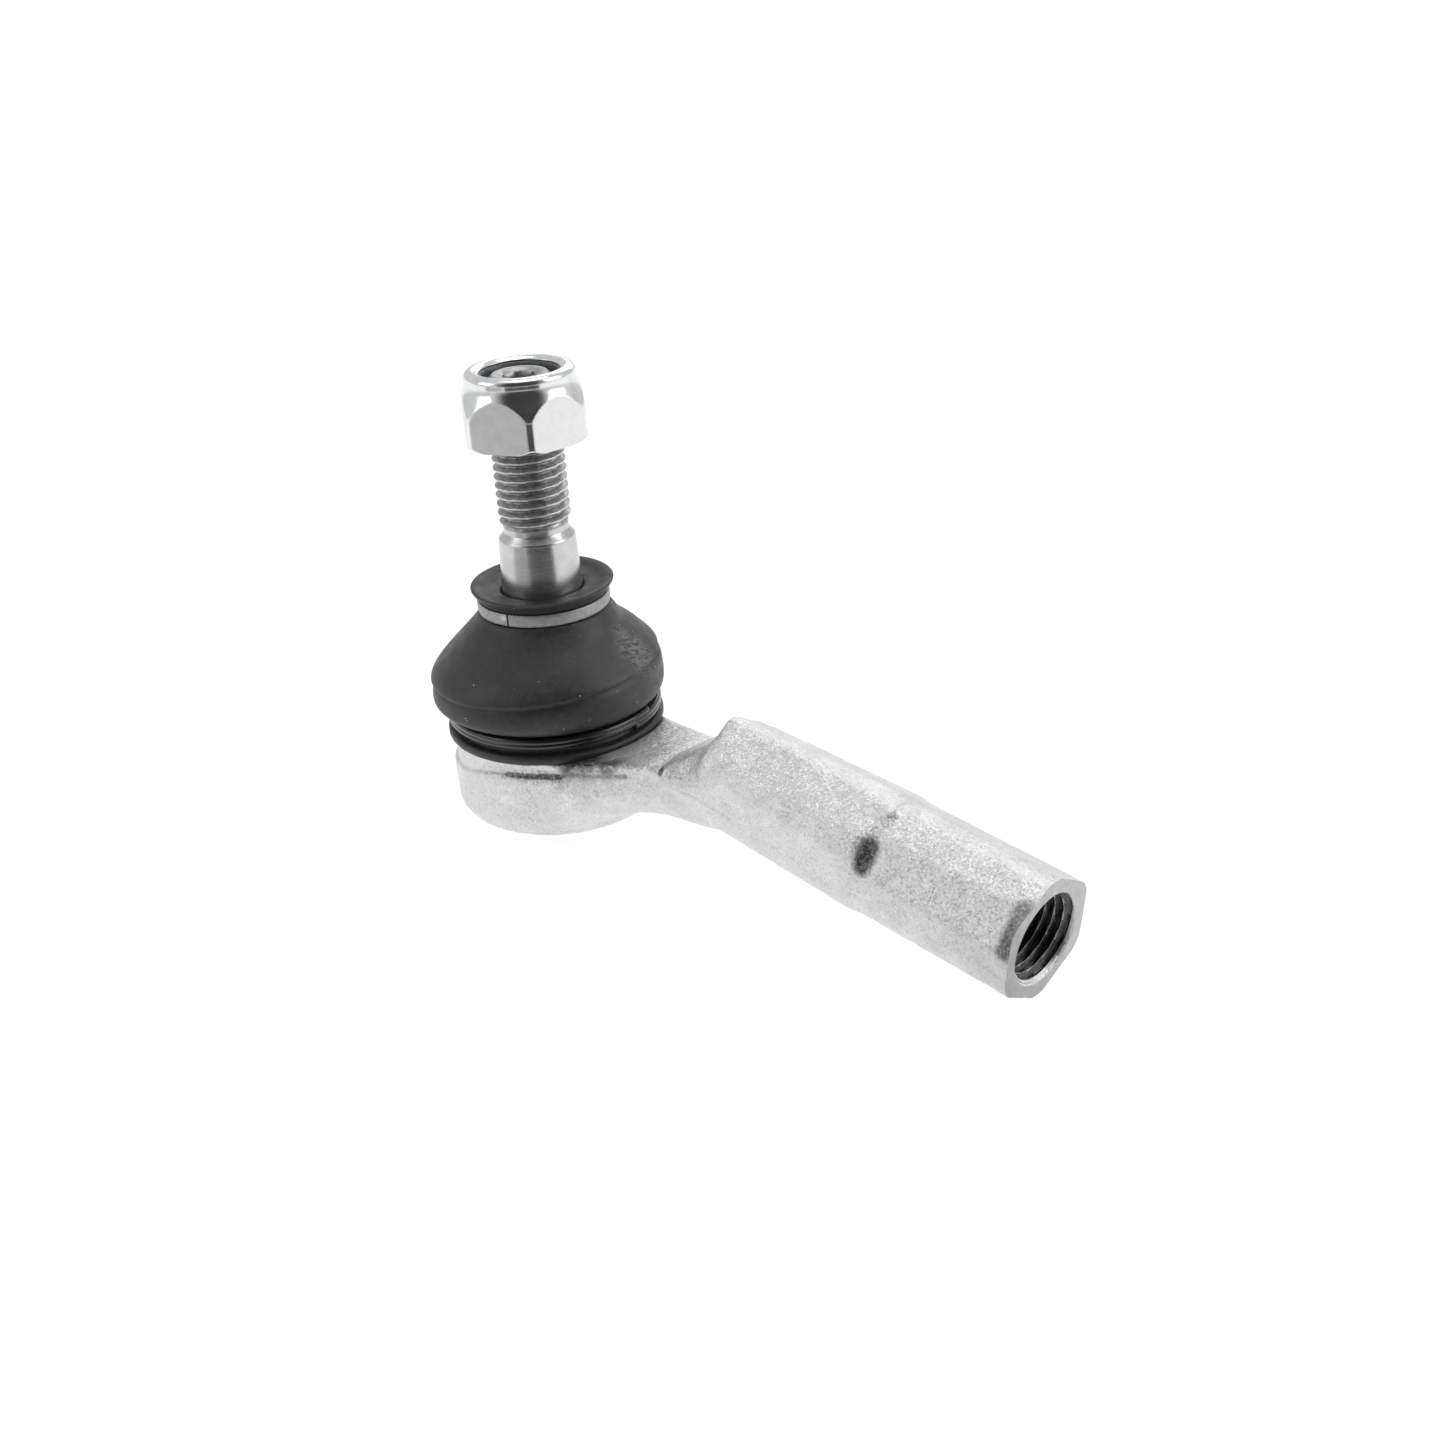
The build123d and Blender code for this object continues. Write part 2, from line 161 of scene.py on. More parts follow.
def angles(count):
    return np.linspace(0, 2 * math.pi, count, endpoint=False)


def ring(radius, z, count):
    """One horizontal ring; the radius is a number or one value per point."""
    a = angles(count)
    r = np.broadcast_to(radius, a.shape)
    return np.stack([r * np.cos(a), r * np.sin(a), np.broadcast_to(z, a.shape)], 1)


def smooth_path(points, step):
    """Catmull-Rom curve through (r, z) points, cut into runs of about the given length."""
    p = np.array([points[0], *points, points[-1]], float)
    out = []
    for a, b, c, d in zip(p, p[1:], p[2:], p[3:]):
        n = max(1, int(round(np.linalg.norm(c - b) / step)))
        for t in np.arange(n) / n:
            square, cube = 2 * a - 5 * b + 4 * c - d, 3 * b - a - 3 * c + d
            out.append(0.5 * (2 * b + (c - a) * t + square * t**2 + cube * t**3))
    out.append(p[-1])
    return np.array(out)


def smooth_min(a, b, soft):
    """Smaller of two radii, blended over a distance so that their edge comes out rounded."""
    h = np.clip(0.5 + 0.5 * (b - a) / soft, 0, 1)
    return b * (1 - h) + a * h - soft * h * (1 - h)


def step(low, high, x):
    t = np.clip((x - low) / (high - low), 0, 1)
    return t * t * (3 - 2 * t)


# ---- material helpers ----
def set_all(node, values):
    """Sets a node's properties and input values by name."""
    for key, value in values.items():
        if hasattr(node, key):
            setattr(node, key, value)
        else:
            node.inputs[key.replace("_", " ")].default_value = value
    return node


class Finish:
    """A Principled material with short calls for the nodes that the finishes below share."""

    def __init__(self, name, metallic=0.0, roughness=0.5, color=(0.5, 0.5, 0.5)):
        self.mat = bpy.data.materials.new(name)
        self.mat.use_nodes = True
        self.tree = self.mat.node_tree
        self.bsdf = self.tree.nodes["Principled BSDF"]
        self.bsdf.inputs["Metallic"].default_value = metallic
        self.bsdf.inputs["Roughness"].default_value = roughness
        self.bsdf.inputs["Base Color"].default_value = (*color, 1)
        self.coord = self.node("ShaderNodeTexCoord").outputs["Object"]

    def node(self, kind, **values):
        return set_all(self.tree.nodes.new(kind), values)

    def link(self, a, b):
        self.tree.links.new(a, b)

    def scaled(self, stretch):
        m = self.node("ShaderNodeMapping")
        m.inputs["Scale"].default_value = stretch
        self.link(self.coord, m.inputs["Vector"])
        return m.outputs["Vector"]

    def noise(self, size_mm, detail=3.0, rough=0.55, stretch=None, warp=0.0):
        """Noise value with features of about the given size."""
        scale = 1 / (size_mm * MM)
        n = self.node("ShaderNodeTexNoise", Scale=scale, Detail=detail, Roughness=rough, Distortion=warp)
        self.link(self.scaled(stretch) if stretch else self.coord, n.inputs["Vector"])
        return n.outputs["Fac"]

    def cells(self, size_mm):
        n = self.node("ShaderNodeTexVoronoi", Scale=1 / (size_mm * MM))
        self.link(self.coord, n.inputs["Vector"])
        return n

    def ramp(self, value, stops):
        """Colour or grey by value; stops are (position, grey or colour)."""
        r = self.node("ShaderNodeValToRGB")
        self.link(value, r.inputs["Fac"])
        e = r.color_ramp.elements
        while len(e) < len(stops):
            e.new(0.5)
        for item, (pos, c) in zip(e, stops):
            item.position = pos
            item.color = (*c, 1) if isinstance(c, tuple) else (c, c, c, 1)
        return r.outputs["Color"]

    def math(self, op, a, b):
        m = self.node("ShaderNodeMath", operation=op)
        for socket, v in zip(m.inputs, (a, b)):
            if isinstance(v, (int, float)):
                socket.default_value = v
            else:
                self.link(v, socket)
        return m.outputs[0]

    def mix(self, fac, a, b, blend="MIX"):
        m = self.node("ShaderNodeMix", data_type="RGBA", blend_type=blend)
        for socket, v in ((m.inputs[0], fac), (m.inputs[6], a), (m.inputs[7], b)):
            if isinstance(v, tuple):
                socket.default_value = (*v, 1)
            elif isinstance(v, (int, float)):
                socket.default_value = v
            else:
                self.link(v, socket)
        return m.outputs[2]

    def color(self, socket):
        self.link(socket, self.bsdf.inputs["Base Color"])

    def color_from(self, value, low, high):
        """Colour that goes from low to high as a value goes from 0.3 to 0.7."""
        self.color(self.ramp(value, [(0.3, low), (0.7, high)]))

    def rough(self, socket):
        self.link(socket, self.bsdf.inputs["Roughness"])

    def rough_from(self, value, low, high):
        """Roughness that rises from low to high as a value goes from 0.3 to 0.7."""
        self.rough(self.ramp(value, [(0.3, low), (0.7, high)]))

    def spots(self, places):
        """Soft blobs, 0 to 1, round places given as (point in mm, radius in mm, strength)."""
        total = None
        for point, radius, strength in places:
            d = self.node("ShaderNodeVectorMath", operation="DISTANCE")
            self.link(self.coord, d.inputs[0])
            d.inputs[1].default_value = Vector(point) * MM
            fall = self.node("ShaderNodeMapRange", interpolation_type="SMOOTHSTEP")
            self.link(d.outputs["Value"], fall.inputs["Value"])
            fall.inputs["From Min"].default_value = radius * MM
            fall.inputs["From Max"].default_value = 0.25 * radius * MM
            fall.inputs["To Max"].default_value = strength
            value = fall.outputs["Result"]
            total = value if total is None else self.math("MAXIMUM", total, value)
        return total

    def band(self, path, radius, strengths, core=0.25):
        """Soft stripe, 0 to 1, along a path of points in mm; its strength runs from one value to another."""
        total = None
        ends = np.linspace(*strengths, len(path))
        for a, b, strength in zip(path, path[1:], ends):
            a, b = Vector(a) * MM, Vector(b) * MM
            off = self.node("ShaderNodeVectorMath", operation="SUBTRACT")
            self.link(self.coord, off.inputs[0])
            off.inputs[1].default_value = a
            run = self.node("ShaderNodeVectorMath", operation="DOT_PRODUCT")
            self.link(off.outputs[0], run.inputs[0])
            run.inputs[1].default_value = (b - a) / (b - a).length_squared
            share = self.math("MINIMUM", self.math("MAXIMUM", run.outputs["Value"], 0.0), 1.0)
            foot = self.node("ShaderNodeVectorMath", operation="SCALE")
            foot.inputs[0].default_value = b - a
            self.link(share, foot.inputs["Scale"])
            d = self.node("ShaderNodeVectorMath", operation="DISTANCE")
            self.link(off.outputs[0], d.inputs[0])
            self.link(foot.outputs[0], d.inputs[1])
            fall = self.node("ShaderNodeMapRange", interpolation_type="SMOOTHSTEP")
            self.link(d.outputs["Value"], fall.inputs["Value"])
            fall.inputs["From Min"].default_value = radius * MM
            fall.inputs["From Max"].default_value = core * radius * MM
            fall.inputs["To Max"].default_value = float(strength)
            value = fall.outputs["Result"]
            total = value if total is None else self.math("MAXIMUM", total, value)
        return total

    def crumple(self, *layers):
        """Normal tilted at random: (size in mm, strength, kind) layers of noise or of flat crystals."""
        normal = self.node("ShaderNodeNewGeometry").outputs["Normal"]
        for size, strength, kind in layers:
            if kind == "cells":
                colour = self.cells(size).outputs["Color"]
            else:
                n = self.node("ShaderNodeTexNoise", Scale=1 / (size * MM), Detail=3.0, Roughness=0.6)
                self.link(self.coord, n.inputs["Vector"])
                colour = n.outputs["Color"]
            centred = self.node("ShaderNodeVectorMath", operation="SUBTRACT")
            self.link(colour, centred.inputs[0])
            centred.inputs[1].default_value = (0.5, 0.5, 0.5)
            scaled = self.node("ShaderNodeVectorMath", operation="SCALE")
            self.link(centred.outputs[0], scaled.inputs[0])
            scaled.inputs["Scale"].default_value = strength
            total = self.node("ShaderNodeVectorMath", operation="ADD")
            self.link(normal, total.inputs[0])
            self.link(scaled.outputs[0], total.inputs[1])
            normal = total.outputs[0]
        unit = self.node("ShaderNodeVectorMath", operation="NORMALIZE")
        self.link(normal, unit.inputs[0])
        return unit.outputs[0]

    def bump(self, *layers, normal=None):
        """Stacks (height, depth in mm) layers into the normal."""
        last = normal
        for height, depth in layers:
            b = self.node("ShaderNodeBump", Strength=1.0, Distance=depth * MM)
            self.link(height, b.inputs["Height"])
            if last is not None:
                self.link(last, b.inputs["Normal"])
            last = b.outputs["Normal"]
        self.link(last, self.bsdf.inputs["Normal"])


# ---- finishes ----
CLIP_R_IN, CLIP_R_OUT = 10.25, 11.05
CLIP_AT = -73  # direction of the split in the boot clip, in degrees
# The points of DIE_HEAD and DIE_WEB, and most places of painted shade and grime below, were read off the
# photograph through the fitted camera. They are not worked out from the frame.
DIE_HEAD = [(-20.0, -3.0), (-5.2, -2.6), (0.0, -1.5), (4.6, -0.8), (11.0, -0.75)]  # x, z on the head
DIE_WEB = [  # from the head along the web, on the -Y side
    (14.4, -12.2, -0.3), (16.5, -11.65, 0.5), (19.2, -10.9, 0.8), (26.6, -8.9, 2.2), (35.7, -8.5, 3.1),
    (42.4, -8.6, 3.3),
    (49.7, -8.7, 2.1),
]


def flat_point(s, angle, out):
    """Point on the barrel: s along it from the mouth, at an angle round it, out from the axis."""
    a = math.radians(angle)
    return MOUTH + AXIS * s + out * (math.cos(a) * SIDE + math.sin(a) * UP)


def forged_zinc():
    """Bright zinc over a blasted forging: crumpled fine grain, small sparkling crystals and grime smudges,
    with painted shade in bands at the recess step, the end rim, the die lines and the web crease.
    """
    f = Finish("forged_zinc", metallic=0.85)
    patches = f.noise(5.0, 4, 0.62, warp=0.5)
    grain = f.noise(0.30, 4, 0.7, warp=0.8)
    zinc = [(0.3, (0.74, 0.743, 0.745)), (0.55, (0.82, 0.82, 0.82)), (0.72, (0.90, 0.90, 0.895))]
    tone = f.ramp(patches, zinc)
    flecks = [(0.32, (0.58, 0.583, 0.587)), (0.46, (0.90, 0.90, 0.902)), (0.66, (1.0, 1.0, 1.0))]
    fleck = f.ramp(grain, flecks)
    tone = f.mix(0.85, tone, fleck, "MULTIPLY")
    # Painted dark reflection: a dark band on the step into the spanner recess.
    recess = [flat_point(-26.2, angle, 8.6) for angle in (161, 152, 143)]
    # Painted shade: a dark band in the fillet between the flat and the raised rim at the end.
    rim = [flat_point(-1.0, angle, 9.0) for angle in (126, 136, 146, 156, 167)]
    # Painted shade: streak and trace run along the die line on the head, and the DIE_WEB bands follow it on
    # the web, where the step between the dies is shaded.
    streak = [(6.0, -16.5, -0.65), (8.2, -15.5, -0.65), (11.0, -13.7, -0.7), DIE_WEB[0]]
    trace = [(-3.0, -17.4, -2.1), (0.0, -17.5, -1.5), (3.0, -17.3, -1.0), (6.0, -16.5, -0.7)]
    painted_shade_bands = [
        f.band(recess, 2.1, (1.0, 0.9), 0.4),
        f.band(rim, 2.1, (0.75, 1.0), 0.35),
        f.band(streak, 0.66, (0.85, 1.0), 0.5),
        f.band(trace, 0.42, (0.05, 0.6)),
        f.band(DIE_WEB[:4], 0.7, (0.95, 0.6)),
        f.band(DIE_WEB[3:], 0.5, (0.3, 0.05)),
        # Painted shade down the crease where the nose of the barrel meets the web.
        f.band([(33.3, -7.5, 4.4), (32.6, -4.0, 4.4), (31.9, 0.0, 4.4)], 0.7, (1.0, 0.9), 0.5),
    ]
    smudges = [((18.2, -9.0, 2.0), 4.4, 1.0), ((22.5, -8.4, 2.7), 3.6, 0.85), ((15.6, -10.6, 1.2), 3.2, 1.0)]
    smudge = f.spots(smudges)
    strokes = f.ramp(f.noise(0.7, 4, 0.7, stretch=(0.5, 1.6, 1.0), warp=0.8), [(0.36, 0.3), (0.52, 1.0)])
    # Grime smudges and the painted shade bands darken the zinc through one mask.
    dirt_and_painted_shade = f.math("MULTIPLY", smudge, strokes)
    mottle = f.ramp(f.noise(0.45, 3, 0.7), [(0.34, 0.5), (0.52, 1.0)])
    for shade_band in painted_shade_bands:
        dirt_and_painted_shade = f.math("MAXIMUM", dirt_and_painted_shade, f.math("MULTIPLY", shade_band, mottle))
    f.color(f.mix(dirt_and_painted_shade, tone, (0.11, 0.11, 0.113)))
    f.rough_from(f.noise(0.7, 4, 0.65), 0.40, 0.58)
    tilted = f.crumple((0.34, 0.44, "noise"), (0.24, 0.40, "cells"))
    f.bump((f.noise(1.6, 3, 0.6), 0.10), normal=tilted)
    return f.mat


def machined_zinc():
    """Faced end of the barrel: fine turning rings under bright zinc."""
    f = Finish("machined_zinc", metallic=1.0)
    tone = f.noise(1.4, 4, 0.6)
    f.color_from(tone, (0.44, 0.443, 0.447), (0.57, 0.57, 0.573))
    f.rough_from(f.noise(0.5, 3), 0.36, 0.50)
    f.bump((f.noise(0.25, 4, 0.6, stretch=(4.0, 0.6, 1.0)), 0.010), (f.noise(2.2, 2), 0.03))
    return f.mat


def cut_thread_painted_shade():
    """Cut thread inside the barrel: steel kept near black as painted shade in the bore."""
    f = Finish("cut_thread_painted_shade", metallic=1.0)
    f.color_from(f.noise(0.7, 4), (0.07, 0.07, 0.072), (0.16, 0.16, 0.163))
    f.rough_from(f.noise(0.4, 3), 0.34, 0.50)
    f.bump((f.noise(0.15, 4, 0.6, stretch=(1.0, 1.0, 5.0)), 0.008))
    return f.mat


def crest_wear_and_highlight():
    """Crests of the stud's thread: rubbed bright by wear, and brighter again as a painted highlight."""
    f = Finish("crest_wear_and_highlight", metallic=0.85)
    f.color(f.ramp(f.noise(0.6, 4), [(0.35, (0.60, 0.60, 0.605)), (0.7, (0.82, 0.82, 0.825))]))
    f.rough_from(f.noise(0.3, 3), 0.28, 0.44)
    f.bump((f.noise(0.2, 3), 0.008))
    return f.mat


def cut_crest_painted_highlight():
    """Crests of the cut thread in the barrel: near white, a painted highlight along each crest."""
    f = Finish("cut_crest_painted_highlight", metallic=0.1)
    f.color(f.ramp(f.noise(0.6, 4), [(0.35, (0.86, 0.86, 0.865)), (0.7, (0.97, 0.97, 0.975))]))
    f.rough_from(f.noise(0.3, 3), 0.40, 0.55)
    f.bump((f.noise(0.2, 3), 0.006))
    return f.mat


def turned_steel():
    """Ground taper of the stud: polished, with fine marks round the axis."""
    f = Finish("turned_steel", metallic=1.0)
    marks = f.noise(0.35, 5, 0.65, stretch=(0.04, 0.04, 6.0))
    f.color_from(f.noise(3.0, 3), (0.52, 0.52, 0.525), (0.64, 0.64, 0.645))
    near_lip = f.spots([((0.0, 0.0, boot_high[2] - 1.0), 8.4, 0.22)])
    f.rough(f.math("ADD", f.ramp(marks, [(0.3, 0.19), (0.7, 0.31)]), near_lip))
    f.bump((marks, 0.0025), (f.noise(1.2, 3), 0.006))
    return f.mat


def rolled_thread_dirt_and_shade():
    """Rolled thread of the stud: grey flanks, darkened as painted shade beside the brighter crests, with a
    little grime in the roots.
    """
    f = Finish("rolled_thread_dirt_and_shade", metallic=1.0)
    dirt_and_painted_shade = f.noise(0.8, 4, 0.65)
    steel = [(0.35, (0.27, 0.268, 0.266)), (0.55, (0.42, 0.42, 0.42)), (0.75, (0.58, 0.58, 0.583))]
    f.color(f.ramp(dirt_and_painted_shade, steel))
    f.rough_from(f.noise(0.3, 4), 0.32, 0.50)
    f.bump((f.noise(0.18, 4, 0.65), 0.014), (dirt_and_painted_shade, 0.03))
    return f.mat


def bright_nut():
    """Bright zinc on the turned dome and collar of the lock nut: polished, with faint drawing marks."""
    f = Finish("bright_nut", metallic=1.0)
    smudge = f.noise(2.4, 4, 0.6, warp=0.6)
    f.color_from(smudge, (0.74, 0.75, 0.76), (0.88, 0.885, 0.89))
    f.rough(f.ramp(smudge, [(0.3, 0.12), (0.6, 0.19), (0.8, 0.28)]))
    f.bump((f.noise(0.5, 4, 0.6, stretch=(1.0, 1.0, 0.25)), 0.008), (f.noise(2.5, 2), 0.02))
    return f.mat


def nut_flats():
    """Satin zinc on the six flats, mottled where the spanner dies rubbed."""
    f = Finish("nut_flats", metallic=1.0)
    cloud = f.noise(1.6, 5, 0.6, warp=0.4)
    f.color_from(cloud, (0.72, 0.722, 0.73), (0.82, 0.82, 0.824))
    f.rough_from(cloud, 0.30, 0.40)
    f.bump((f.noise(0.45, 4, 0.6, stretch=(0.5, 0.5, 1.6)), 0.006), (f.noise(2.0, 2), 0.015))
    return f.mat


def stud_end():
    """Sheared and chamfered end of the stud round the key socket: dull grey, lightly scratched."""
    f = Finish("stud_end", metallic=1.0)
    f.color_from(f.noise(0.9, 4, 0.6), (0.36, 0.362, 0.366), (0.50, 0.50, 0.503))
    f.rough_from(f.noise(0.4, 3), 0.36, 0.52)
    f.bump((f.noise(0.25, 4, 0.65, stretch=(1.0, 0.3, 1.0)), 0.010))
    return f.mat


def rubber():
    """Moulded boot rubber: satin black with faint mottling, rub marks, a few dust specks and a painted sheen
    in soft patches on the bell.
    """
    f = Finish("boot_rubber", roughness=0.5)
    mottle = f.noise(1.1, 5, 0.65)
    cloud = f.noise(7.0, 3, 0.6)
    base = f.ramp(mottle, [(0.3, (0.014, 0.014, 0.015)), (0.7, (0.032, 0.032, 0.034))])
    worn = f.ramp(cloud, [(0.52, 0.0), (0.72, 0.5)])
    base = f.mix(worn, base, (0.05, 0.05, 0.052))
    # Painted sheen: soft paler patches on the bell, where the light falls on it.
    painted_sheen = f.spots([((17.0, 2.0, 13.0), 13.0, 0.6), ((12.0, 9.0, 19.0), 9.0, 0.5)])
    base = f.mix(painted_sheen, base, (0.052, 0.052, 0.054))
    scuff = f.spots([((16.0, 5.5, 16.2), 5.6, 1.0), ((13.5, 5.0, 18.6), 3.4, 0.8)])
    streaks = f.ramp(f.noise(0.9, 5, 0.7, stretch=(1.6, 0.45, 0.8), warp=1.2), [(0.42, 0.0), (0.58, 1.0)])
    scuffed = f.math("MULTIPLY", scuff, streaks)
    base = f.mix(scuffed, base, (0.17, 0.17, 0.173))
    dust = f.cells(0.95)
    speck = f.ramp(dust.outputs["Distance"], [(0.0, 1.0), (0.075, 1.0), (0.12, 0.0)])
    pick = f.ramp(dust.outputs["Color"], [(0.64, 0.0), (0.74, 1.0)])
    drift = f.ramp(f.noise(6.0, 2, 0.5), [(0.44, 0.0), (0.56, 1.0)])
    dusty = f.mix(1.0, f.mix(1.0, speck, pick, "MULTIPLY"), drift, "MULTIPLY")
    f.color(f.mix(dusty, base, (0.75, 0.75, 0.76)))
    f.rough_from(f.noise(2.2, 4, 0.6), 0.38, 0.56)
    f.bump((f.noise(0.35, 4, 0.6), 0.018), (f.noise(3.5, 3, 0.6), 0.10), (scuffed, 0.06))
    return f.mat


def clip_steel():
    """Phosphated spring strip: flat mid grey with light rubbing."""
    f = Finish("clip_steel", metallic=0.75)
    strip = f.ramp(f.noise(0.9, 4), [(0.3, (0.30, 0.30, 0.305)), (0.7, (0.42, 0.42, 0.425))])
    end = math.radians(CLIP_AT - 4)
    at = (CLIP_R_OUT * math.cos(end), CLIP_R_OUT * math.sin(end), clip_high[2] - 0.7)
    sheared = f.spots([(at, 0.8, 0.9)])
    f.color(f.mix(sheared, strip, (0.66, 0.66, 0.665)))
    f.rough_from(f.noise(0.5, 3), 0.42, 0.58)
    f.bump((f.noise(0.25, 4, 0.6, stretch=(1.0, 1.0, 3.0)), 0.006))
    return f.mat


def black_wire():
    """Gloss black spring wire, with a few rubbed spots."""
    f = Finish("black_wire", roughness=0.2)
    rub = f.ramp(f.noise(1.3, 4, 0.6), [(0.66, 0.0), (0.8, 0.7)])
    f.color(f.mix(rub, (0.008, 0.008, 0.010), (0.07, 0.07, 0.075)))
    f.rough_from(f.noise(0.8, 3), 0.14, 0.30)
    f.bump((f.noise(0.4, 3), 0.008))
    f.bsdf.inputs["Coat Weight"].default_value = 0.4
    return f.mat


def nylon():
    """Dark nylon ring, scored by the thread."""
    f = Finish("nylon", roughness=0.45)
    f.color_from(f.noise(0.7, 4), (0.06, 0.064, 0.07), (0.13, 0.135, 0.145))
    f.rough_from(f.noise(0.4, 3), 0.34, 0.55)
    f.bump((f.noise(0.2, 4), 0.012))
    f.bsdf.inputs["Subsurface Weight"].default_value = 0.05
    return f.mat


def acetal():
    """Natural acetal of the ball seat, with a film of grease."""
    f = Finish("acetal", roughness=0.35)
    f.color_from(f.noise(2.0, 4), (0.72, 0.68, 0.58), (0.82, 0.80, 0.74))
    f.rough_from(f.noise(1.0, 3), 0.22, 0.45)
    f.bump((f.noise(0.4, 3), 0.01))
    return f.mat


def polished_ball():
    """Ground and polished ball, with a trace of grease."""
    f = Finish("polished_ball", metallic=1.0)
    f.color_from(f.noise(2.5, 3), (0.62, 0.62, 0.63), (0.75, 0.75, 0.76))
    f.rough_from(f.noise(1.5, 4), 0.06, 0.16)
    f.bump((f.noise(0.5, 3), 0.002))
    return f.mat


FORGED, MACHINED, THREAD_CUT_SHADE, THREAD_CREST_HIGHLIGHT = forged_zinc(), machined_zinc(), cut_thread_painted_shade(), cut_crest_painted_highlight()
GROUND, ROLLED_DIRT_AND_SHADE, CREST_WEAR_AND_HIGHLIGHT, STUD_END = turned_steel(), rolled_thread_dirt_and_shade(), crest_wear_and_highlight(), stud_end()
NUT_ZINC, NUT_FLAT = bright_nut(), nut_flats()
RUBBER, CLIP, WIRE, NYLON = rubber(), clip_steel(), black_wire(), nylon()


# ---- housing: the forging, its machined faces and its thread ----
SKIN_VOXEL = 0.34  # mm
BORE_DEPTH, DRILL_DEPTH = 42.0, 47.0
THREAD_CREST_R = 6.2
PITCH = 1.5
SHOULDER_Z = boot_low[2] - 0.02
TURNED_R = 18.7
HEAD_STEP_Z = -2.2  # the two forging dies meet here on the drawn head
BUMP_S, BUMP_OUT, BUMP_SIDE = -26.6, 9.2, -2.5  # small die lump at the start of the spanner section
END_STOCK = 2.0  # added to the end of the barrel before remeshing, and faced off again by bore_tool


def barrel_coords(co):
    """Distance past the mouth's face and radius from the barrel's axis, for points in millimetres."""
    d = co - MOUTH
    return d @ AXIS, np.hypot(d @ SIDE, d @ UP)


def barrel_ring(s, radius, count):
    a = angles(count)
    r = np.broadcast_to(radius, a.shape)[:, None]
    return MOUTH + AXIS * s + r * (np.cos(a)[:, None] * SIDE + np.sin(a)[:, None] * UP)


def thread_wave(turn):
    """Height of a 60 degree thread through one pitch, from 0 at the root to 1 at the crest."""
    t = np.abs((turn % 1.0) - 0.5) * 2
    t = np.clip((t - 0.16) / 0.66, 0, 1)
    return t + 0.12 * np.sin(2 * math.pi * t) * 0.5


def bore_tool():
    """Solid that is cut from the barrel: facing disc, countersink, helical thread and drill point."""
    count = 112
    a = angles(count)
    rings = [barrel_ring(3.0, 0.2, count), barrel_ring(3.0, 15.0, count), barrel_ring(0.0, 15.0, count)]
    sink = ROD_R + 0.2
    rings.append(barrel_ring(0.0, sink, count))
    for depth in np.arange(0.12, BORE_DEPTH, PITCH / 12):
        fade = step(0.0, 2.0, BORE_DEPTH - depth)
        lift = thread_wave(depth / PITCH + a / (2 * math.pi)) * (ROD_R - THREAD_CREST_R)
        r = THREAD_CREST_R + (ROD_R - THREAD_CREST_R - lift) * fade
        rings.append(barrel_ring(-depth, np.maximum(r, sink - depth), count))
    rings.append(barrel_ring(-BORE_DEPTH - 0.3, THREAD_CREST_R, count))
    rings.append(barrel_ring(-DRILL_DEPTH, THREAD_CREST_R, count))
    rings.append(barrel_ring(-DRILL_DEPTH - 3.2, 0.2, count))
    return rings_object("bore_tool", rings, None)


def relax(co, edges, weight, rounds):
    """Laplacian smoothing, with a weight per vertex."""
    degree = np.bincount(edges.ravel(), minlength=len(co))[:, None]
    for _ in range(rounds):
        total = np.zeros_like(co)
        for axis in range(3):
            total[:, axis] = np.bincount(edges[:, 0], co[edges[:, 1], axis], len(co)) + np.bincount(
                edges[:, 1], co[edges[:, 0], axis], len(co)
            )
        co = co + (total / degree - co) * weight[:, None]
    return co


def lumps(co, size, seed):
    """Seeded noise at each point, about -1 to 1, for features of the given size."""
    shift = Vector((seed * 13.1, seed * 7.7, seed * 3.3))
    return np.array([noise.noise(Vector(p) / size + shift) for p in co])


def applied(obj):
    """Replaces an object's mesh by its modified one."""
    mesh = bpy.data.meshes.new_from_object(obj.evaluated_get(bpy.context.evaluated_depsgraph_get()))
    obj.modifiers.clear()
    old, obj.data = obj.data, mesh
    bpy.data.meshes.remove(old)


def remove(obj):
    mesh = obj.data
    bpy.data.objects.remove(obj)
    bpy.data.meshes.remove(mesh)


def combine(obj, other, operation):
    """Boolean of two closed meshes; the second one is used up."""
    b = obj.modifiers.new("combine", "BOOLEAN")
    b.operation, b.solver, b.object = operation, "MANIFOLD", other
    applied(obj)
    remove(other)


def points_of(mesh):
    flat = np.empty(len(mesh.vertices) * 3)
    mesh.vertices.foreach_get("co", flat)
    return flat.reshape(-1, 3) / MM


def face_centres(mesh):
    flat = np.empty(len(mesh.polygons) * 3)
    mesh.polygons.foreach_get("center", flat)
    return flat.reshape(-1, 3) / MM


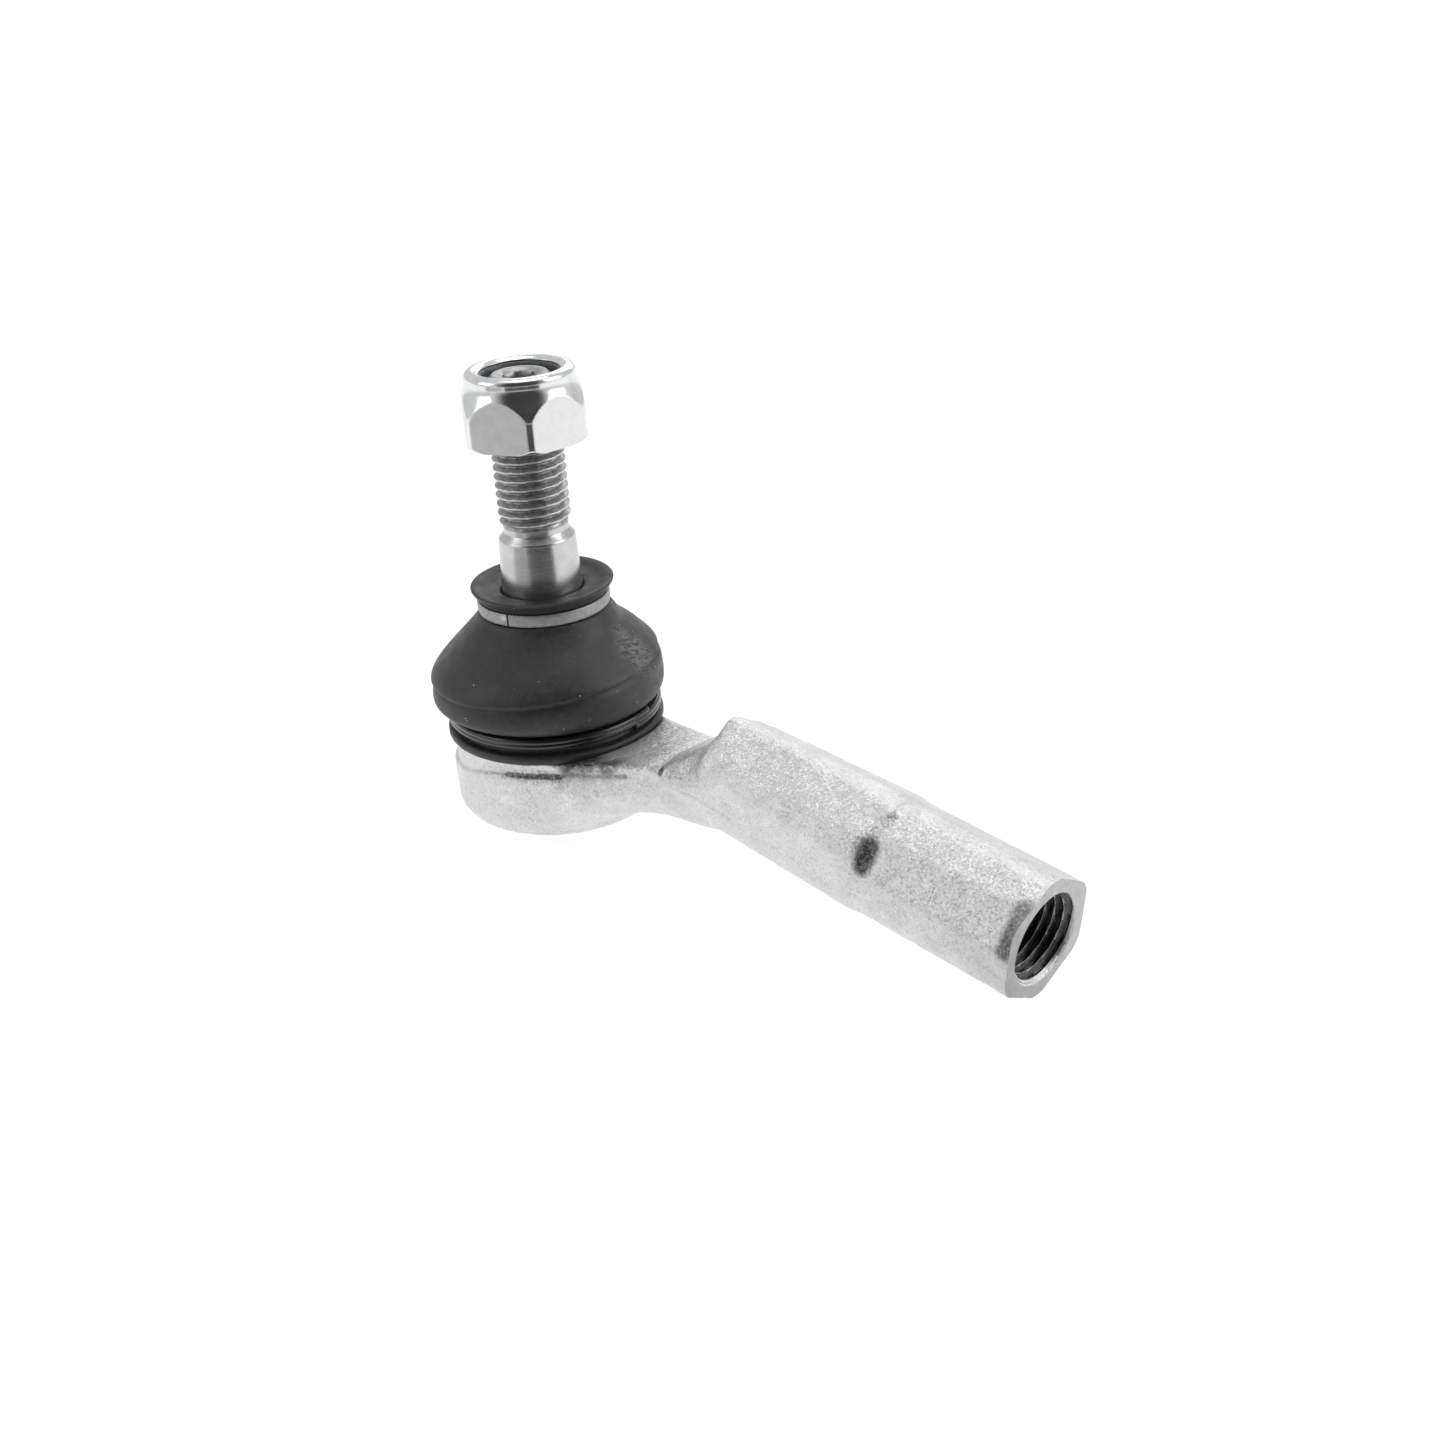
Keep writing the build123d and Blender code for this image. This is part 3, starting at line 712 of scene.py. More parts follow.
def housing_skin():
    source = nodes["housing"].data
    co = points_of(source)
    s, _ = barrel_coords(co)
    co[s > -0.02] += AXIS * END_STOCK
    faces = [list(p.vertices) for p in source.polygons]
    obj = mesh_object("housing_skin", co, faces, None)
    bm = bmesh.new()
    bm.from_mesh(obj.data)
    bmesh.ops.remove_doubles(bm, verts=bm.verts, dist=0.001 * MM)
    bmesh.ops.recalc_face_normals(bm, faces=bm.faces)
    bm.to_mesh(obj.data)
    bm.free()
    plug = rings_object("plug", [barrel_ring(d, ROD_R + 0.6, 96) for d in (1.9, -DRILL_DEPTH - 3.0)], None)
    combine(obj, plug, "UNION")
    remesh = obj.modifiers.new("skin", "REMESH")
    remesh.mode = "VOXEL"
    remesh.voxel_size = SKIN_VOXEL * MM
    applied(obj)

    mesh = obj.data
    co = points_of(mesh)
    edges = np.empty(len(mesh.edges) * 2, int)
    mesh.edges.foreach_get("vertices", edges)
    edges = edges.reshape(-1, 2)
    s, _ = barrel_coords(co)
    head_r = np.hypot(co[:, 0], co[:, 1])
    turned = step(TURNED_R + 0.8, TURNED_R - 0.3, head_r) * step(SHOULDER_Z - 0.9, SHOULDER_Z - 0.2, co[:, 2])
    seat = step(15.4, 14.4, head_r) * step(-9.5, -10.5, co[:, 2])
    cavity = step(14.2, 13.7, head_r) * step(-11.4, -10.8, co[:, 2])
    forged = 1 - np.clip(turned + seat + cavity, 0, 1)
    co = relax(co, edges, 0.10 + 0.45 * forged, 5)
    co = relax(co, edges, 0.7 * np.exp(-(((s - BUMP_S) / 1.8) ** 2)), 30)
    co = relax(co, edges, 0.5 * step(-27.0, -22.0, s), 8)
    mirrored = np.abs(co) * (0, 1, 0) + co * (1, 0, 1)
    for centre, reach, rounds in (((42.0, 8.3, 6.5), 4.6, 50), ((44.6, 4.6, 12.1), 2.4, 25)):
        cheek = np.linalg.norm(mirrored - centre, axis=1)
        co = relax(co, edges, 0.8 * np.exp(-((cheek / reach) ** 2)), rounds)
    nose = step(26.0, 30.5, co[:, 0]) * step(46.0, 36.0, co[:, 0]) * step(0.0, 3.0, co[:, 2])
    co[:, 0] -= 0.22 * np.clip(7.2 - np.hypot(co[:, 1], 1.0), 0, 7) * nose
    rise = np.interp(co[:, 0], *np.transpose(DIE_HEAD)) - HEAD_STEP_Z
    rise = rise * step(-9.0, -2.6, co[:, 2]) * step(1.6, -1.8, co[:, 2])
    co[:, 2] += rise * step(16.2, 17.0, head_r) * step(19.0, 11.0, co[:, 0])

    mesh.vertices.foreach_set("co", (co * MM).ravel())
    mesh.update()
    normals = np.empty(len(mesh.vertices) * 3)
    mesh.vertices.foreach_get("normal", normals)
    normals = normals.reshape(-1, 3)
    rough = 0.055 * lumps(co, 4.5, 1) + 0.05 * lumps(co, 1.7, 2) + 0.045 * lumps(co, 0.8, 3)
    sides = step(16.2, 17.2, head_r) * step(17.0, 13.0, co[:, 0]) * step(-8.5, -6.5, co[:, 2])
    above = co[:, 2] - np.interp(co[:, 0], *np.transpose(DIE_HEAD))
    proud = 0.10 * (1 - 2 * step(-0.17, 0.17, above))
    groove = -0.12 * np.exp(-((above / 0.35) ** 2))
    rough += sides * step(SHOULDER_Z - 0.4, SHOULDER_Z - 1.2, co[:, 2]) * (proud + groove)
    near = np.flatnonzero((co[:, 0] > 12) & (co[:, 0] < 52) & (np.abs(co[:, 1]) > 5) & (co[:, 2] < 7))
    beside = co[near] * (1, 0, 1) - np.abs(co[near]) * (0, 1, 0)
    carved = np.zeros(len(near))
    for a, b, depth in zip(DIE_WEB, DIE_WEB[1:], np.linspace(0.24, 0.08, len(DIE_WEB) - 1)):
        a, b = np.array(a), np.array(b)
        share = np.clip((beside - a) @ (b - a) / ((b - a) @ (b - a)), 0, 1)[:, None]
        gap = np.linalg.norm(beside - a - share * (b - a), axis=1)
        carved = np.maximum(carved, depth * np.exp(-((gap / 0.45) ** 2)))
    rough[near] -= carved
    bump_at = MOUTH + AXIS * BUMP_S + UP * BUMP_OUT + SIDE * BUMP_SIDE
    rough += 0.62 * np.exp(-((np.linalg.norm((co - bump_at) * (1.0, 0.55, 1.0), axis=1) / 1.25) ** 2))
    co = co + normals * (rough * forged - 0.03)[:, None]
    mesh.vertices.foreach_set("co", (co * MM).ravel())
    mesh.update()

    combine(obj, bore_tool(), "DIFFERENCE")

    mesh = obj.data
    bm = bmesh.new()
    bm.from_mesh(mesh)
    axis, mouth = Vector(AXIS), Vector(MOUTH) * MM
    faced = [v for v in bm.verts if abs((v.co - mouth).dot(axis)) < 0.02 * MM]
    bmesh.ops.remove_doubles(bm, verts=faced, dist=0.04 * MM)
    bmesh.ops.dissolve_degenerate(bm, dist=0.01 * MM, edges=bm.edges)
    bm.to_mesh(mesh)
    bm.free()
    mesh.materials.clear()
    for material in (FORGED, MACHINED, THREAD_CUT_SHADE, THREAD_CREST_HIGHLIGHT):
        mesh.materials.append(material)
    centre = face_centres(mesh)
    s, r = barrel_coords(centre)
    head_r = np.hypot(centre[:, 0], centre[:, 1])
    slot = np.zeros(len(centre), int)
    slot[(s > -0.01)] = 1
    slot[(head_r < TURNED_R) & (centre[:, 2] > SHOULDER_Z - 0.1)] = 1
    slot[(head_r < 15.0) & (np.abs(centre[:, 0]) < 15.0)] = 1
    slot[(r < ROD_R + 0.05) & (s < -0.3) & (s > -DRILL_DEPTH - 4)] = 2
    around = np.arctan2((centre - MOUTH) @ UP, (centre - MOUTH) @ SIDE) / (2 * math.pi)
    # Faces along each crest get the painted highlight.
    slot[(slot == 2) & (np.abs((around - s / PITCH) % 1.0 - 0.5) > 0.44) & (s > 3 - BORE_DEPTH)] = 3
    slot[(slot == 2) & (s > -0.6)] = 1
    slot[(centre[:, 2] < -12.0) & (head_r < 30.0)] = 0
    mesh.polygons.foreach_set("material_index", slot)
    mesh.shade_smooth()
    mesh.set_sharp_from_angle(angle=math.radians(50))
    mesh.polygons.foreach_set("use_smooth", s < -0.01)
    return obj


# ---- stud ----
NECK_R = 5.6
TAPER_LOW, TAPER_TOP, TAPER_TOP_R = 21.0, 35.2, 6.31
RELIEF_R, RELIEF_TOP = 5.35, 37.6
STUD_THREAD_R, STUD_THREAD_DEPTH = 5.94, 0.92
SOCKET_AF, SOCKET_DEPTH = 5.0, 5.5
STUD_END_R = 4.4
SOCKET_LEAD_R = 3.3  # the mouth of the socket is countersunk from this radius
SOCKET_ROUND_R = 2.78  # and is round at this one, before it turns into the hexagon


def taper_r(z):
    return TAPER_TOP_R + 0.05 * (TAPER_TOP - z)


def stud():
    """Turned in one: hollow foot on the ball, neck, taper, relief groove, helical thread, socket."""
    count = 120
    a = angles(count)
    top = stud_high[2]
    foot = stud_low[2]
    ball_r = math.hypot(NECK_R, foot)
    tilts = np.linspace(0.02, math.asin(NECK_R / ball_r), 7)
    below = [(ball_r * math.sin(t), ball_r * math.cos(t)) for t in tilts]
    shank = smooth_path([(NECK_R, foot + 0.2), (NECK_R, 15.4)], 1.0).tolist()
    shank += [
        (NECK_R + 0.1, 16.2), (taper_r(21) - 0.35, TAPER_LOW - 1.3), (taper_r(21) - 0.1, TAPER_LOW - 0.3),
        (taper_r(21.3), TAPER_LOW + 0.3),
    ]
    shank += [(taper_r(z), z) for z in np.linspace(TAPER_LOW + 1, TAPER_TOP - 0.25, 12)]
    shank += [
        (TAPER_TOP_R - 0.03, TAPER_TOP - 0.06), (TAPER_TOP_R - 0.14, TAPER_TOP + 0.08),
        (RELIEF_R + 0.12, TAPER_TOP + 0.86),
        (RELIEF_R + 0.02, TAPER_TOP + 1.02), (RELIEF_R, TAPER_TOP + 1.2), (RELIEF_R, RELIEF_TOP - 0.55),
    ]
    rings = [ring(r, z, count) for r, z in below + shank]
    root = STUD_THREAD_R - STUD_THREAD_DEPTH
    for z in np.arange(RELIEF_TOP - 0.45, top - 0.45, PITCH / 13):
        wave = thread_wave(z / PITCH - a / (2 * math.pi) + 0.3)
        start = step(RELIEF_TOP - 0.45, RELIEF_TOP + 0.9, z)
        r = RELIEF_R + (root - RELIEF_R) * start + STUD_THREAD_DEPTH * wave * start
        rings.append(ring(np.minimum(r, STUD_END_R + 0.05 + (top - z)), z, count))
    rings.append(ring(STUD_END_R + 0.12, top - 0.1, count))
    rings.append(ring(STUD_END_R - 0.02, top, count))
    turn = (a + math.pi / 6) % (math.pi / 3) - math.pi / 6
    hexagon = np.minimum(SOCKET_AF / 2 / np.cos(turn), SOCKET_AF / 2 / math.cos(math.pi / 6) - 0.08)
    rings.append(ring(SOCKET_LEAD_R + 0.12, top, count))
    rings.append(ring(SOCKET_LEAD_R, top - 0.05, count))
    for depth, share in ((0.5, 0.0), (0.62, 0.3), (0.8, 0.6), (1.05, 0.85), (1.35, 1.0)):
        rings.append(ring(SOCKET_ROUND_R + (hexagon - SOCKET_ROUND_R) * share, top - depth, count))
    for depth in (2.6, 4.0, SOCKET_DEPTH - 0.2):
        rings.append(ring(hexagon, top - depth, count))
    rings.append(ring(hexagon * 0.95, top - SOCKET_DEPTH, count))
    rings.append(ring(0.3, top - SOCKET_DEPTH - 0.9, count))
    obj = rings_object("stud_turned", rings, GROUND, sharp=32)
    mesh = obj.data
    for material in (ROLLED_DIRT_AND_SHADE, CREST_WEAR_AND_HIGHLIGHT, STUD_END):
        mesh.materials.append(material)
    centre = face_centres(mesh)
    slot = (centre[:, 2] > RELIEF_TOP - 0.4).astype(int)
    far = np.hypot(centre[:, 0], centre[:, 1])
    slot[(slot == 1) & (far > STUD_THREAD_R - 0.05)] = 2
    slot[(slot == 1) & (far < SOCKET_LEAD_R + 0.2)] = 3
    slot[centre[:, 2] > top - 1.6] = 3
    mesh.polygons.foreach_set("material_index", slot)
    return obj


# ---- lock nut and its nylon ring ----
NUT_AF = 19.0
NUT_TURN = math.radians(55)  # direction of one flat
NUT_CORNER_R, COLLAR_R = 10.72, 8.95
NUT_DOME_Z, NUT_DOME_TOP = 56.0, 61.9
NUT_BORE_R = 5.99
INSERT_R = 8.0


def nut():
    """Hexagon whose corners run up in a dome to the round collar, which is rolled in over the nylon ring."""
    count = 240
    a = angles(count)
    low, high = nut_low[2], nut_high[2]
    turn = (a - NUT_TURN + math.pi / 6) % (math.pi / 3) - math.pi / 6
    flat = NUT_AF / 2 / np.cos(turn)
    lead = smooth_path([
        (low, 9.95), (low + 0.3, 10.35), (low + 0.7, NUT_CORNER_R - 0.05), (low + 1.2, NUT_CORNER_R),
    ], 0.1)
    levels = np.concatenate([low + 0.08 * np.arange(10), np.arange(low + 0.8, NUT_DOME_TOP - 0.05, 0.12)])
    rings = []
    for z in levels:
        rise = np.clip((z - NUT_DOME_Z) / (NUT_DOME_TOP - NUT_DOME_Z), 0, 1)
        dome = COLLAR_R + (NUT_CORNER_R - COLLAR_R) * (1 + math.cos(math.pi * rise)) / 2
        outer = min(dome, np.interp(z, lead[:, 0], lead[:, 1]))
        rings.append(ring(smooth_min(flat, outer, 0.10), z, count))
    rim = smooth_path([
        (COLLAR_R - 0.01, high - 1.15), (COLLAR_R - 0.05, high - 0.85), (COLLAR_R - 0.2, high - 0.5),
        (COLLAR_R - 0.5, high - 0.2),
        (COLLAR_R - 0.95, high - 0.04), (COLLAR_R - 1.4, high), (COLLAR_R - 1.85, high - 0.1),
        (COLLAR_R - 2.25, high - 0.35),
        (6.45, high - 0.62), (6.6, insert_high[2] + 0.05),
    ], 0.14)
    rings += [ring(r, z, count) for r, z in rim]
    inside = [
        (INSERT_R, insert_high[2] + 0.03), (INSERT_R, insert_low[2] - 0.03),
        (NUT_BORE_R, insert_low[2] - 0.03),
        (NUT_BORE_R, low + 0.9), (NUT_BORE_R + 0.12, low + 0.6), (NUT_BORE_R + 0.5, low + 0.05),
        (NUT_BORE_R + 0.62, low),
        (NUT_BORE_R + 1.6, low), (8.9, low),
    ]
    rings += [ring(r, z, count) for r, z in inside]
    obj = rings_object("lock_nut_body", rings, NUT_ZINC, closed=True, sharp=34)
    mesh = obj.data
    mesh.materials.append(NUT_FLAT)
    centre = face_centres(mesh)
    around = np.arctan2(centre[:, 1], centre[:, 0]) - NUT_TURN + math.pi / 6
    reach = np.hypot(centre[:, 0], centre[:, 1]) * np.cos(around % (math.pi / 3) - math.pi / 6)
    slot = ((np.abs(reach - NUT_AF / 2) < 0.03) & (centre[:, 2] < NUT_DOME_TOP - 1.5)).astype(int)
    mesh.polygons.foreach_set("material_index", slot)
    return obj


def insert():
    """Nylon ring; its inner edge is pushed up where the stud's thread went through."""
    count = 128
    a = angles(count)
    low, high = insert_low[2], insert_high[2]
    scored = 0.05 * thread_wave(high / PITCH - a / (2 * math.pi))
    rings = []
    for r, z in smooth_path([(NUT_BORE_R + 0.02, low), (INSERT_R - 0.05, low)], 0.5):
        rings.append(ring(r, z, count))
    lip = [(INSERT_R - 0.05, high - 0.1), (7.6, high), (6.7, high), (6.25, high - 0.12)]
    for r, z in smooth_path(lip, 0.25):
        rings.append(ring(r, z, count))
    rings.append(ring(NUT_BORE_R + 0.08 + scored, high - 0.3, count))
    for z in np.arange(high - 0.5, low + 0.1, -0.25):
        rings.append(ring(NUT_BORE_R + 0.01 + 0.05 * thread_wave(z / PITCH - a / (2 * math.pi)), z, count))
    return rings_object("nylon_ring", rings, NYLON, closed=True)


# ---- boot, in two shells that meet on the mould's parting line ----
PARTING_Z = 12.9
BOOT_SEGMENTS = 176
SETTLE = np.array([-0.643, -0.766])  # horizontal direction in which the boot has settled
BOOT_TIP = math.radians(3.8)
BOOT_SHIFT = 0.72
DENT_AT, DENT = math.radians(40), 1.1  # the far side of the bell is pushed in
FLASH_AT, FLASH = math.radians(33), 0.32  # torn flash on the parting line
FOOT_Z, COLLAR_Z = 7.0, 22.3  # heights handed to place with the boot shells
SEAM_REACH = 1.7  # the tipped seam stays within this of PARTING_Z


def boot_shape(name, profile):
    """Turns a boot profile; the soft middle has settled a little to one side and tips down there."""
    rings = []
    a = angles(BOOT_SEGMENTS)
    facing = np.clip(np.cos(a - DENT_AT), 0, 1) ** 1.5
    for r, z in profile:
        soft = step(6.0, 10.2, z) * step(22.2, 16.0, z)
        dent = DENT * facing * step(11.0, 15.0, z) * step(22.2, 18.0, z)
        flash = FLASH * np.exp(-(((a - FLASH_AT) / 0.06) ** 2)) * max(0.0, 1 - abs(z - PARTING_Z - 0.2) / 0.4)
        points = ring(r - dent + flash, z, BOOT_SEGMENTS)
        reach = points[:, 0] * SETTLE[0] + points[:, 1] * SETTLE[1]
        points[:, 2] -= math.tan(BOOT_TIP) * reach * soft
        points[:, :2] += BOOT_SHIFT * soft * SETTLE
        rings.append(points)
    return rings_object(name, rings, RUBBER, closed=True, sharp=48)


def boot_lower():
    foot_r, shoulder = 18.45, boot_low[2]
    wall = 16.9
    outside = smooth_path([
        (19.58, PARTING_Z), (19.42, PARTING_Z - 0.1), (19.12, PARTING_Z - 0.32), (19.1, PARTING_Z - 0.6),
        (19.34, PARTING_Z - 1.05), (19.55, PARTING_Z - 1.9), (19.64, PARTING_Z - 3.1),
        (19.55, PARTING_Z - 4.2),
        (19.12, PARTING_Z - 5.2), (18.42, PARTING_Z - 5.88), (17.6, PARTING_Z - 6.22),
        (wall, PARTING_Z - 6.45),
    ], 0.25)
    foot = smooth_path([
        (wall, 6.0), (wall, 3.5), (17.2, 3.25), (18.2, 3.05), (18.4, 2.85), (foot_r, 2.5),
        (foot_r, shoulder + 0.2), (18.3, shoulder),
    ], 0.4)
    inside = smooth_path([
        (15.93, shoulder), (15.93, 5.1), (16.55, 5.25), (16.55, 6.6), (16.6, 7.4), (17.7, 9.4),
        (18.0, 11.4), (18.0, PARTING_Z),
    ], 0.8)
    return boot_shape("boot_lower", np.vstack([outside, foot, inside]))


def boot_upper():
    lip_z, lip_r = boot_high[2], 11.9
    groove = CLIP_R_IN - 0.12
    clip_z0, clip_z1 = clip_low[2], clip_high[2]
    bore = taper_r(lip_z - 0.9) + 0.15
    bell = smooth_path([
        (19.58, PARTING_Z), (19.62, PARTING_Z + 0.16), (19.56, PARTING_Z + 0.45),
        (19.3, PARTING_Z + 1.0), (18.6, 14.85),
        (17.1, 16.45), (15.4, 18.0), (13.8, 19.45), (12.45, 20.8), (11.6, 21.75), (11.25, 22.3),
        (11.05, clip_z0 - 0.28),
        (10.6, clip_z0 - 0.12), (groove, clip_z0 - 0.1),
    ], 0.35)
    collar = smooth_path([
        (groove, clip_z0 + 0.2), (groove, clip_z1 + 0.12), (10.75, clip_z1 + 0.16),
        (10.95, clip_z1 + 0.3), (11.25, clip_z1 + 0.8),
        (11.62, clip_z1 + 1.28), (11.85, lip_z - 0.42), (lip_r, lip_z - 0.16), (11.78, lip_z - 0.02),
        (11.4, lip_z), (10.7, lip_z - 0.12),
        (10.2, lip_z - 0.28), (9.7, lip_z - 0.48), (9.1, lip_z - 0.62), (8.4, lip_z - 0.72),
        (7.4, lip_z - 0.84),
        (bore + 0.2, lip_z - 0.95), (bore, lip_z - 1.2),
    ], 0.22)
    inside = smooth_path([
        (bore, lip_z - 1.6), (taper_r(22.9) + 0.15, clip_z0 - 0.2), (8.4, 21.3), (10.4, 20.1),
        (12.9, 18.0), (15.0, 16.2), (16.9, 14.2),
        (18.0, PARTING_Z),
    ], 0.8)
    return boot_shape("boot_upper", np.vstack([bell, collar, inside]))


def swept_wire(name, path, radius, material, count=20):
    """Round section swept along a path about the z axis, with rounded ends."""
    path = np.asarray(path)
    a = angles(count)
    rings = []
    ends = [(-1, 0.25), (-0.8, 0.62), (-0.45, 0.9), (0, 1.0)]
    way = np.gradient(path, axis=0)
    way /= np.linalg.norm(way, axis=1)[:, None]
    rows = [(path[0] + way[0] * radius * e, way[0], k) for e, k in ends[:-1]]
    rows += [(p, w, 1.0) for p, w in zip(path, way)]
    rows += [(path[-1] - way[-1] * radius * e, way[-1], k) for e, k in reversed(ends[:-1])]
    for p, w, k in rows:
        out = np.array([p[0], p[1], 0.0])
        out -= w * (out @ w)
        out /= np.linalg.norm(out)
        up = np.cross(w, out)
        rings.append(p + k * radius * (np.cos(a)[:, None] * out + np.sin(a)[:, None] * up))
    return rings_object(name, rings, material)


def boot_ring():
    """Black spring wire wound twice round the foot of the boot."""
    wire = 0.625
    mid_r = ring_high[0] - wire
    start, turns = math.radians(8), 2.03
    t = np.linspace(0, 1, 260)
    angle = start + t * turns * 2 * math.pi
    low = ring_low[2] + wire
    z = low + (ring_high[2] - ring_low[2] - 2 * wire + 0.42) * t - 0.1
    path = np.stack([mid_r * np.cos(angle), mid_r * np.sin(angle), z], 1)
    return swept_wire("boot_wire", path, wire, WIRE)


def boot_clip():
    """Flat spring strip round the collar of the boot; its ends almost meet."""
    low, high = clip_low[2], clip_high[2]
    section = smooth_path([
        (CLIP_R_IN, low + 0.25), (CLIP_R_IN, high - 0.25), (CLIP_R_IN + 0.12, high - 0.06),
        (CLIP_R_IN + 0.3, high),
        (CLIP_R_OUT - 0.3, high), (CLIP_R_OUT - 0.1, high - 0.07), (CLIP_R_OUT, high - 0.28),
        (CLIP_R_OUT, low + 0.28),
        (CLIP_R_OUT - 0.1, low + 0.07), (CLIP_R_OUT - 0.3, low), (CLIP_R_IN + 0.3, low),
        (CLIP_R_IN + 0.12, low + 0.06),
    ], 0.35)
    gap, at = math.radians(1.7), math.radians(CLIP_AT)
    rings = []
    for t in np.linspace(0, 1, 150):
        angle = at + gap / 2 + t * (2 * math.pi - gap)
        out, up = section[:, 0], section[:, 1]
        rings.append(np.stack([out * math.cos(angle), out * math.sin(angle), up], 1))
    return rings_object("boot_clip_strip", rings, CLIP)


# ---- assembly ----
def place(obj, slot, body, *replaced):
    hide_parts(*replaced)
    if isinstance(body, str):
        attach(obj, body)
    else:
        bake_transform(obj)


place(housing_skin(), "zinc_plated_forging", "housing", "housing")
place(stud(), "stud_steel", "stud", "stud")
place(nut(), "bright_zinc", "nut", "lock_nut")
place(insert(), "nylon", "nut_carrier", "nut_insert")
place(boot_lower(), "boot_rubber", ("housing", "ball", FOOT_Z, PARTING_Z - SEAM_REACH), "dust_boot")
place(boot_upper(), "boot_rubber", ("ball", "boot_collar", PARTING_Z + SEAM_REACH, COLLAR_Z), "dust_boot")
place(boot_clip(), "clip_steel", "boot_collar", "boot_clip")
place(boot_ring(), "black_wire", "housing", "boot_ring")
for name, material in (("ball", polished_ball()), ("ball_seat", acetal()), ("cover_plate", MACHINED)):
    nodes[name].data.materials.clear()
    nodes[name].data.materials.append(material)


# ---- floor, light and camera ----
FLOOR_Z = cad_lo[2] - 0.1 * MM
CAMERA_SIDE = Vector((0.707, -0.566, 0.424)).normalized()


def shader_nodes(tree):
    tree.nodes.clear()
    return lambda kind, **v: set_all(tree.nodes.new(kind), v)


def floor():
    """Pale seamless floor, lifted a little by its own light so that shadows stay faint."""
    mat = bpy.data.materials.new("floor_paper")
    mat.use_nodes = True
    bsdf = mat.node_tree.nodes["Principled BSDF"]
    bsdf.inputs["Base Color"].default_value = (0.25, 0.25, 0.25, 1)
    bsdf.inputs["Roughness"].default_value = 0.95
    bsdf.inputs["Specular IOR Level"].default_value = 0.0
    bsdf.inputs["Emission Color"].default_value = (1, 1, 1, 1)
    bsdf.inputs["Emission Strength"].default_value = 0.86
    bpy.ops.mesh.primitive_plane_add(size=40, location=(0, 0, FLOOR_Z))
    obj = bpy.context.object
    obj.name = "floor"
    obj.data.materials.append(mat)


def floor_flag(name, near, fade_length, shade, half_angle, turn):
    """Cloth on the floor, a fan that opens away from the object: only polished metal and gloss pick it up."""
    mat = bpy.data.materials.new(name)
    mat.use_nodes = True
    tree = mat.node_tree
    node = shader_nodes(tree)
    coord = node("ShaderNodeTexCoord")
    split = node("ShaderNodeSeparateXYZ")
    fade = node("ShaderNodeMapRange", From_Min=near * MM, From_Max=(near + fade_length) * MM)
    clear = node("ShaderNodeBsdfTransparent")
    dark = node("ShaderNodeEmission", Color=(shade, shade, shade, 1), Strength=1.0)
    mix = node("ShaderNodeMixShader")
    out = node("ShaderNodeOutputMaterial")
    tree.links.new(coord.outputs["Object"], split.inputs["Vector"])
    tree.links.new(split.outputs["X"], fade.inputs["Value"])
    tree.links.new(fade.outputs["Result"], mix.inputs["Fac"])
    tree.links.new(clear.outputs[0], mix.inputs[1])
    tree.links.new(dark.outputs[0], mix.inputs[2])
    tree.links.new(mix.outputs[0], out.inputs["Surface"])
    start, far = near * MM, 1.6
    side = math.tan(math.radians(half_angle))
    half, wide = start * side + 0.02, far * side
    corners = [(start, -half, 0), (far, -wide, 0), (far, wide, 0), (start, half, 0)]
    data = bpy.data.meshes.new(name)
    data.from_pydata(corners, [], [(0, 1, 2, 3)])
    data.materials.append(mat)
    obj = new_object(name, data)
    obj.location = (0, 0, FLOOR_Z + 0.2 * MM)
    obj.rotation_euler = (0, 0, math.atan2(CAMERA_SIDE.y, CAMERA_SIDE.x) + math.radians(turn))
    obj.visible_camera = False
    obj.visible_diffuse = False
    obj.visible_shadow = False


def softbox(name, at, aim, width, height, radiance):
    """Rectangular area light of a given brightness; positions in millimetres."""
    data = bpy.data.lights.new(name, "AREA")
    data.shape = "RECTANGLE"
    data.size, data.size_y = width * MM, height * MM
    data.energy = radiance * math.pi * data.size * data.size_y
    obj = new_object(name, data)
    at, aim = Vector(at) * MM, Vector(aim) * MM
    obj.location = at
    obj.rotation_euler = (aim - at).to_track_quat("-Z", "Y").to_euler()


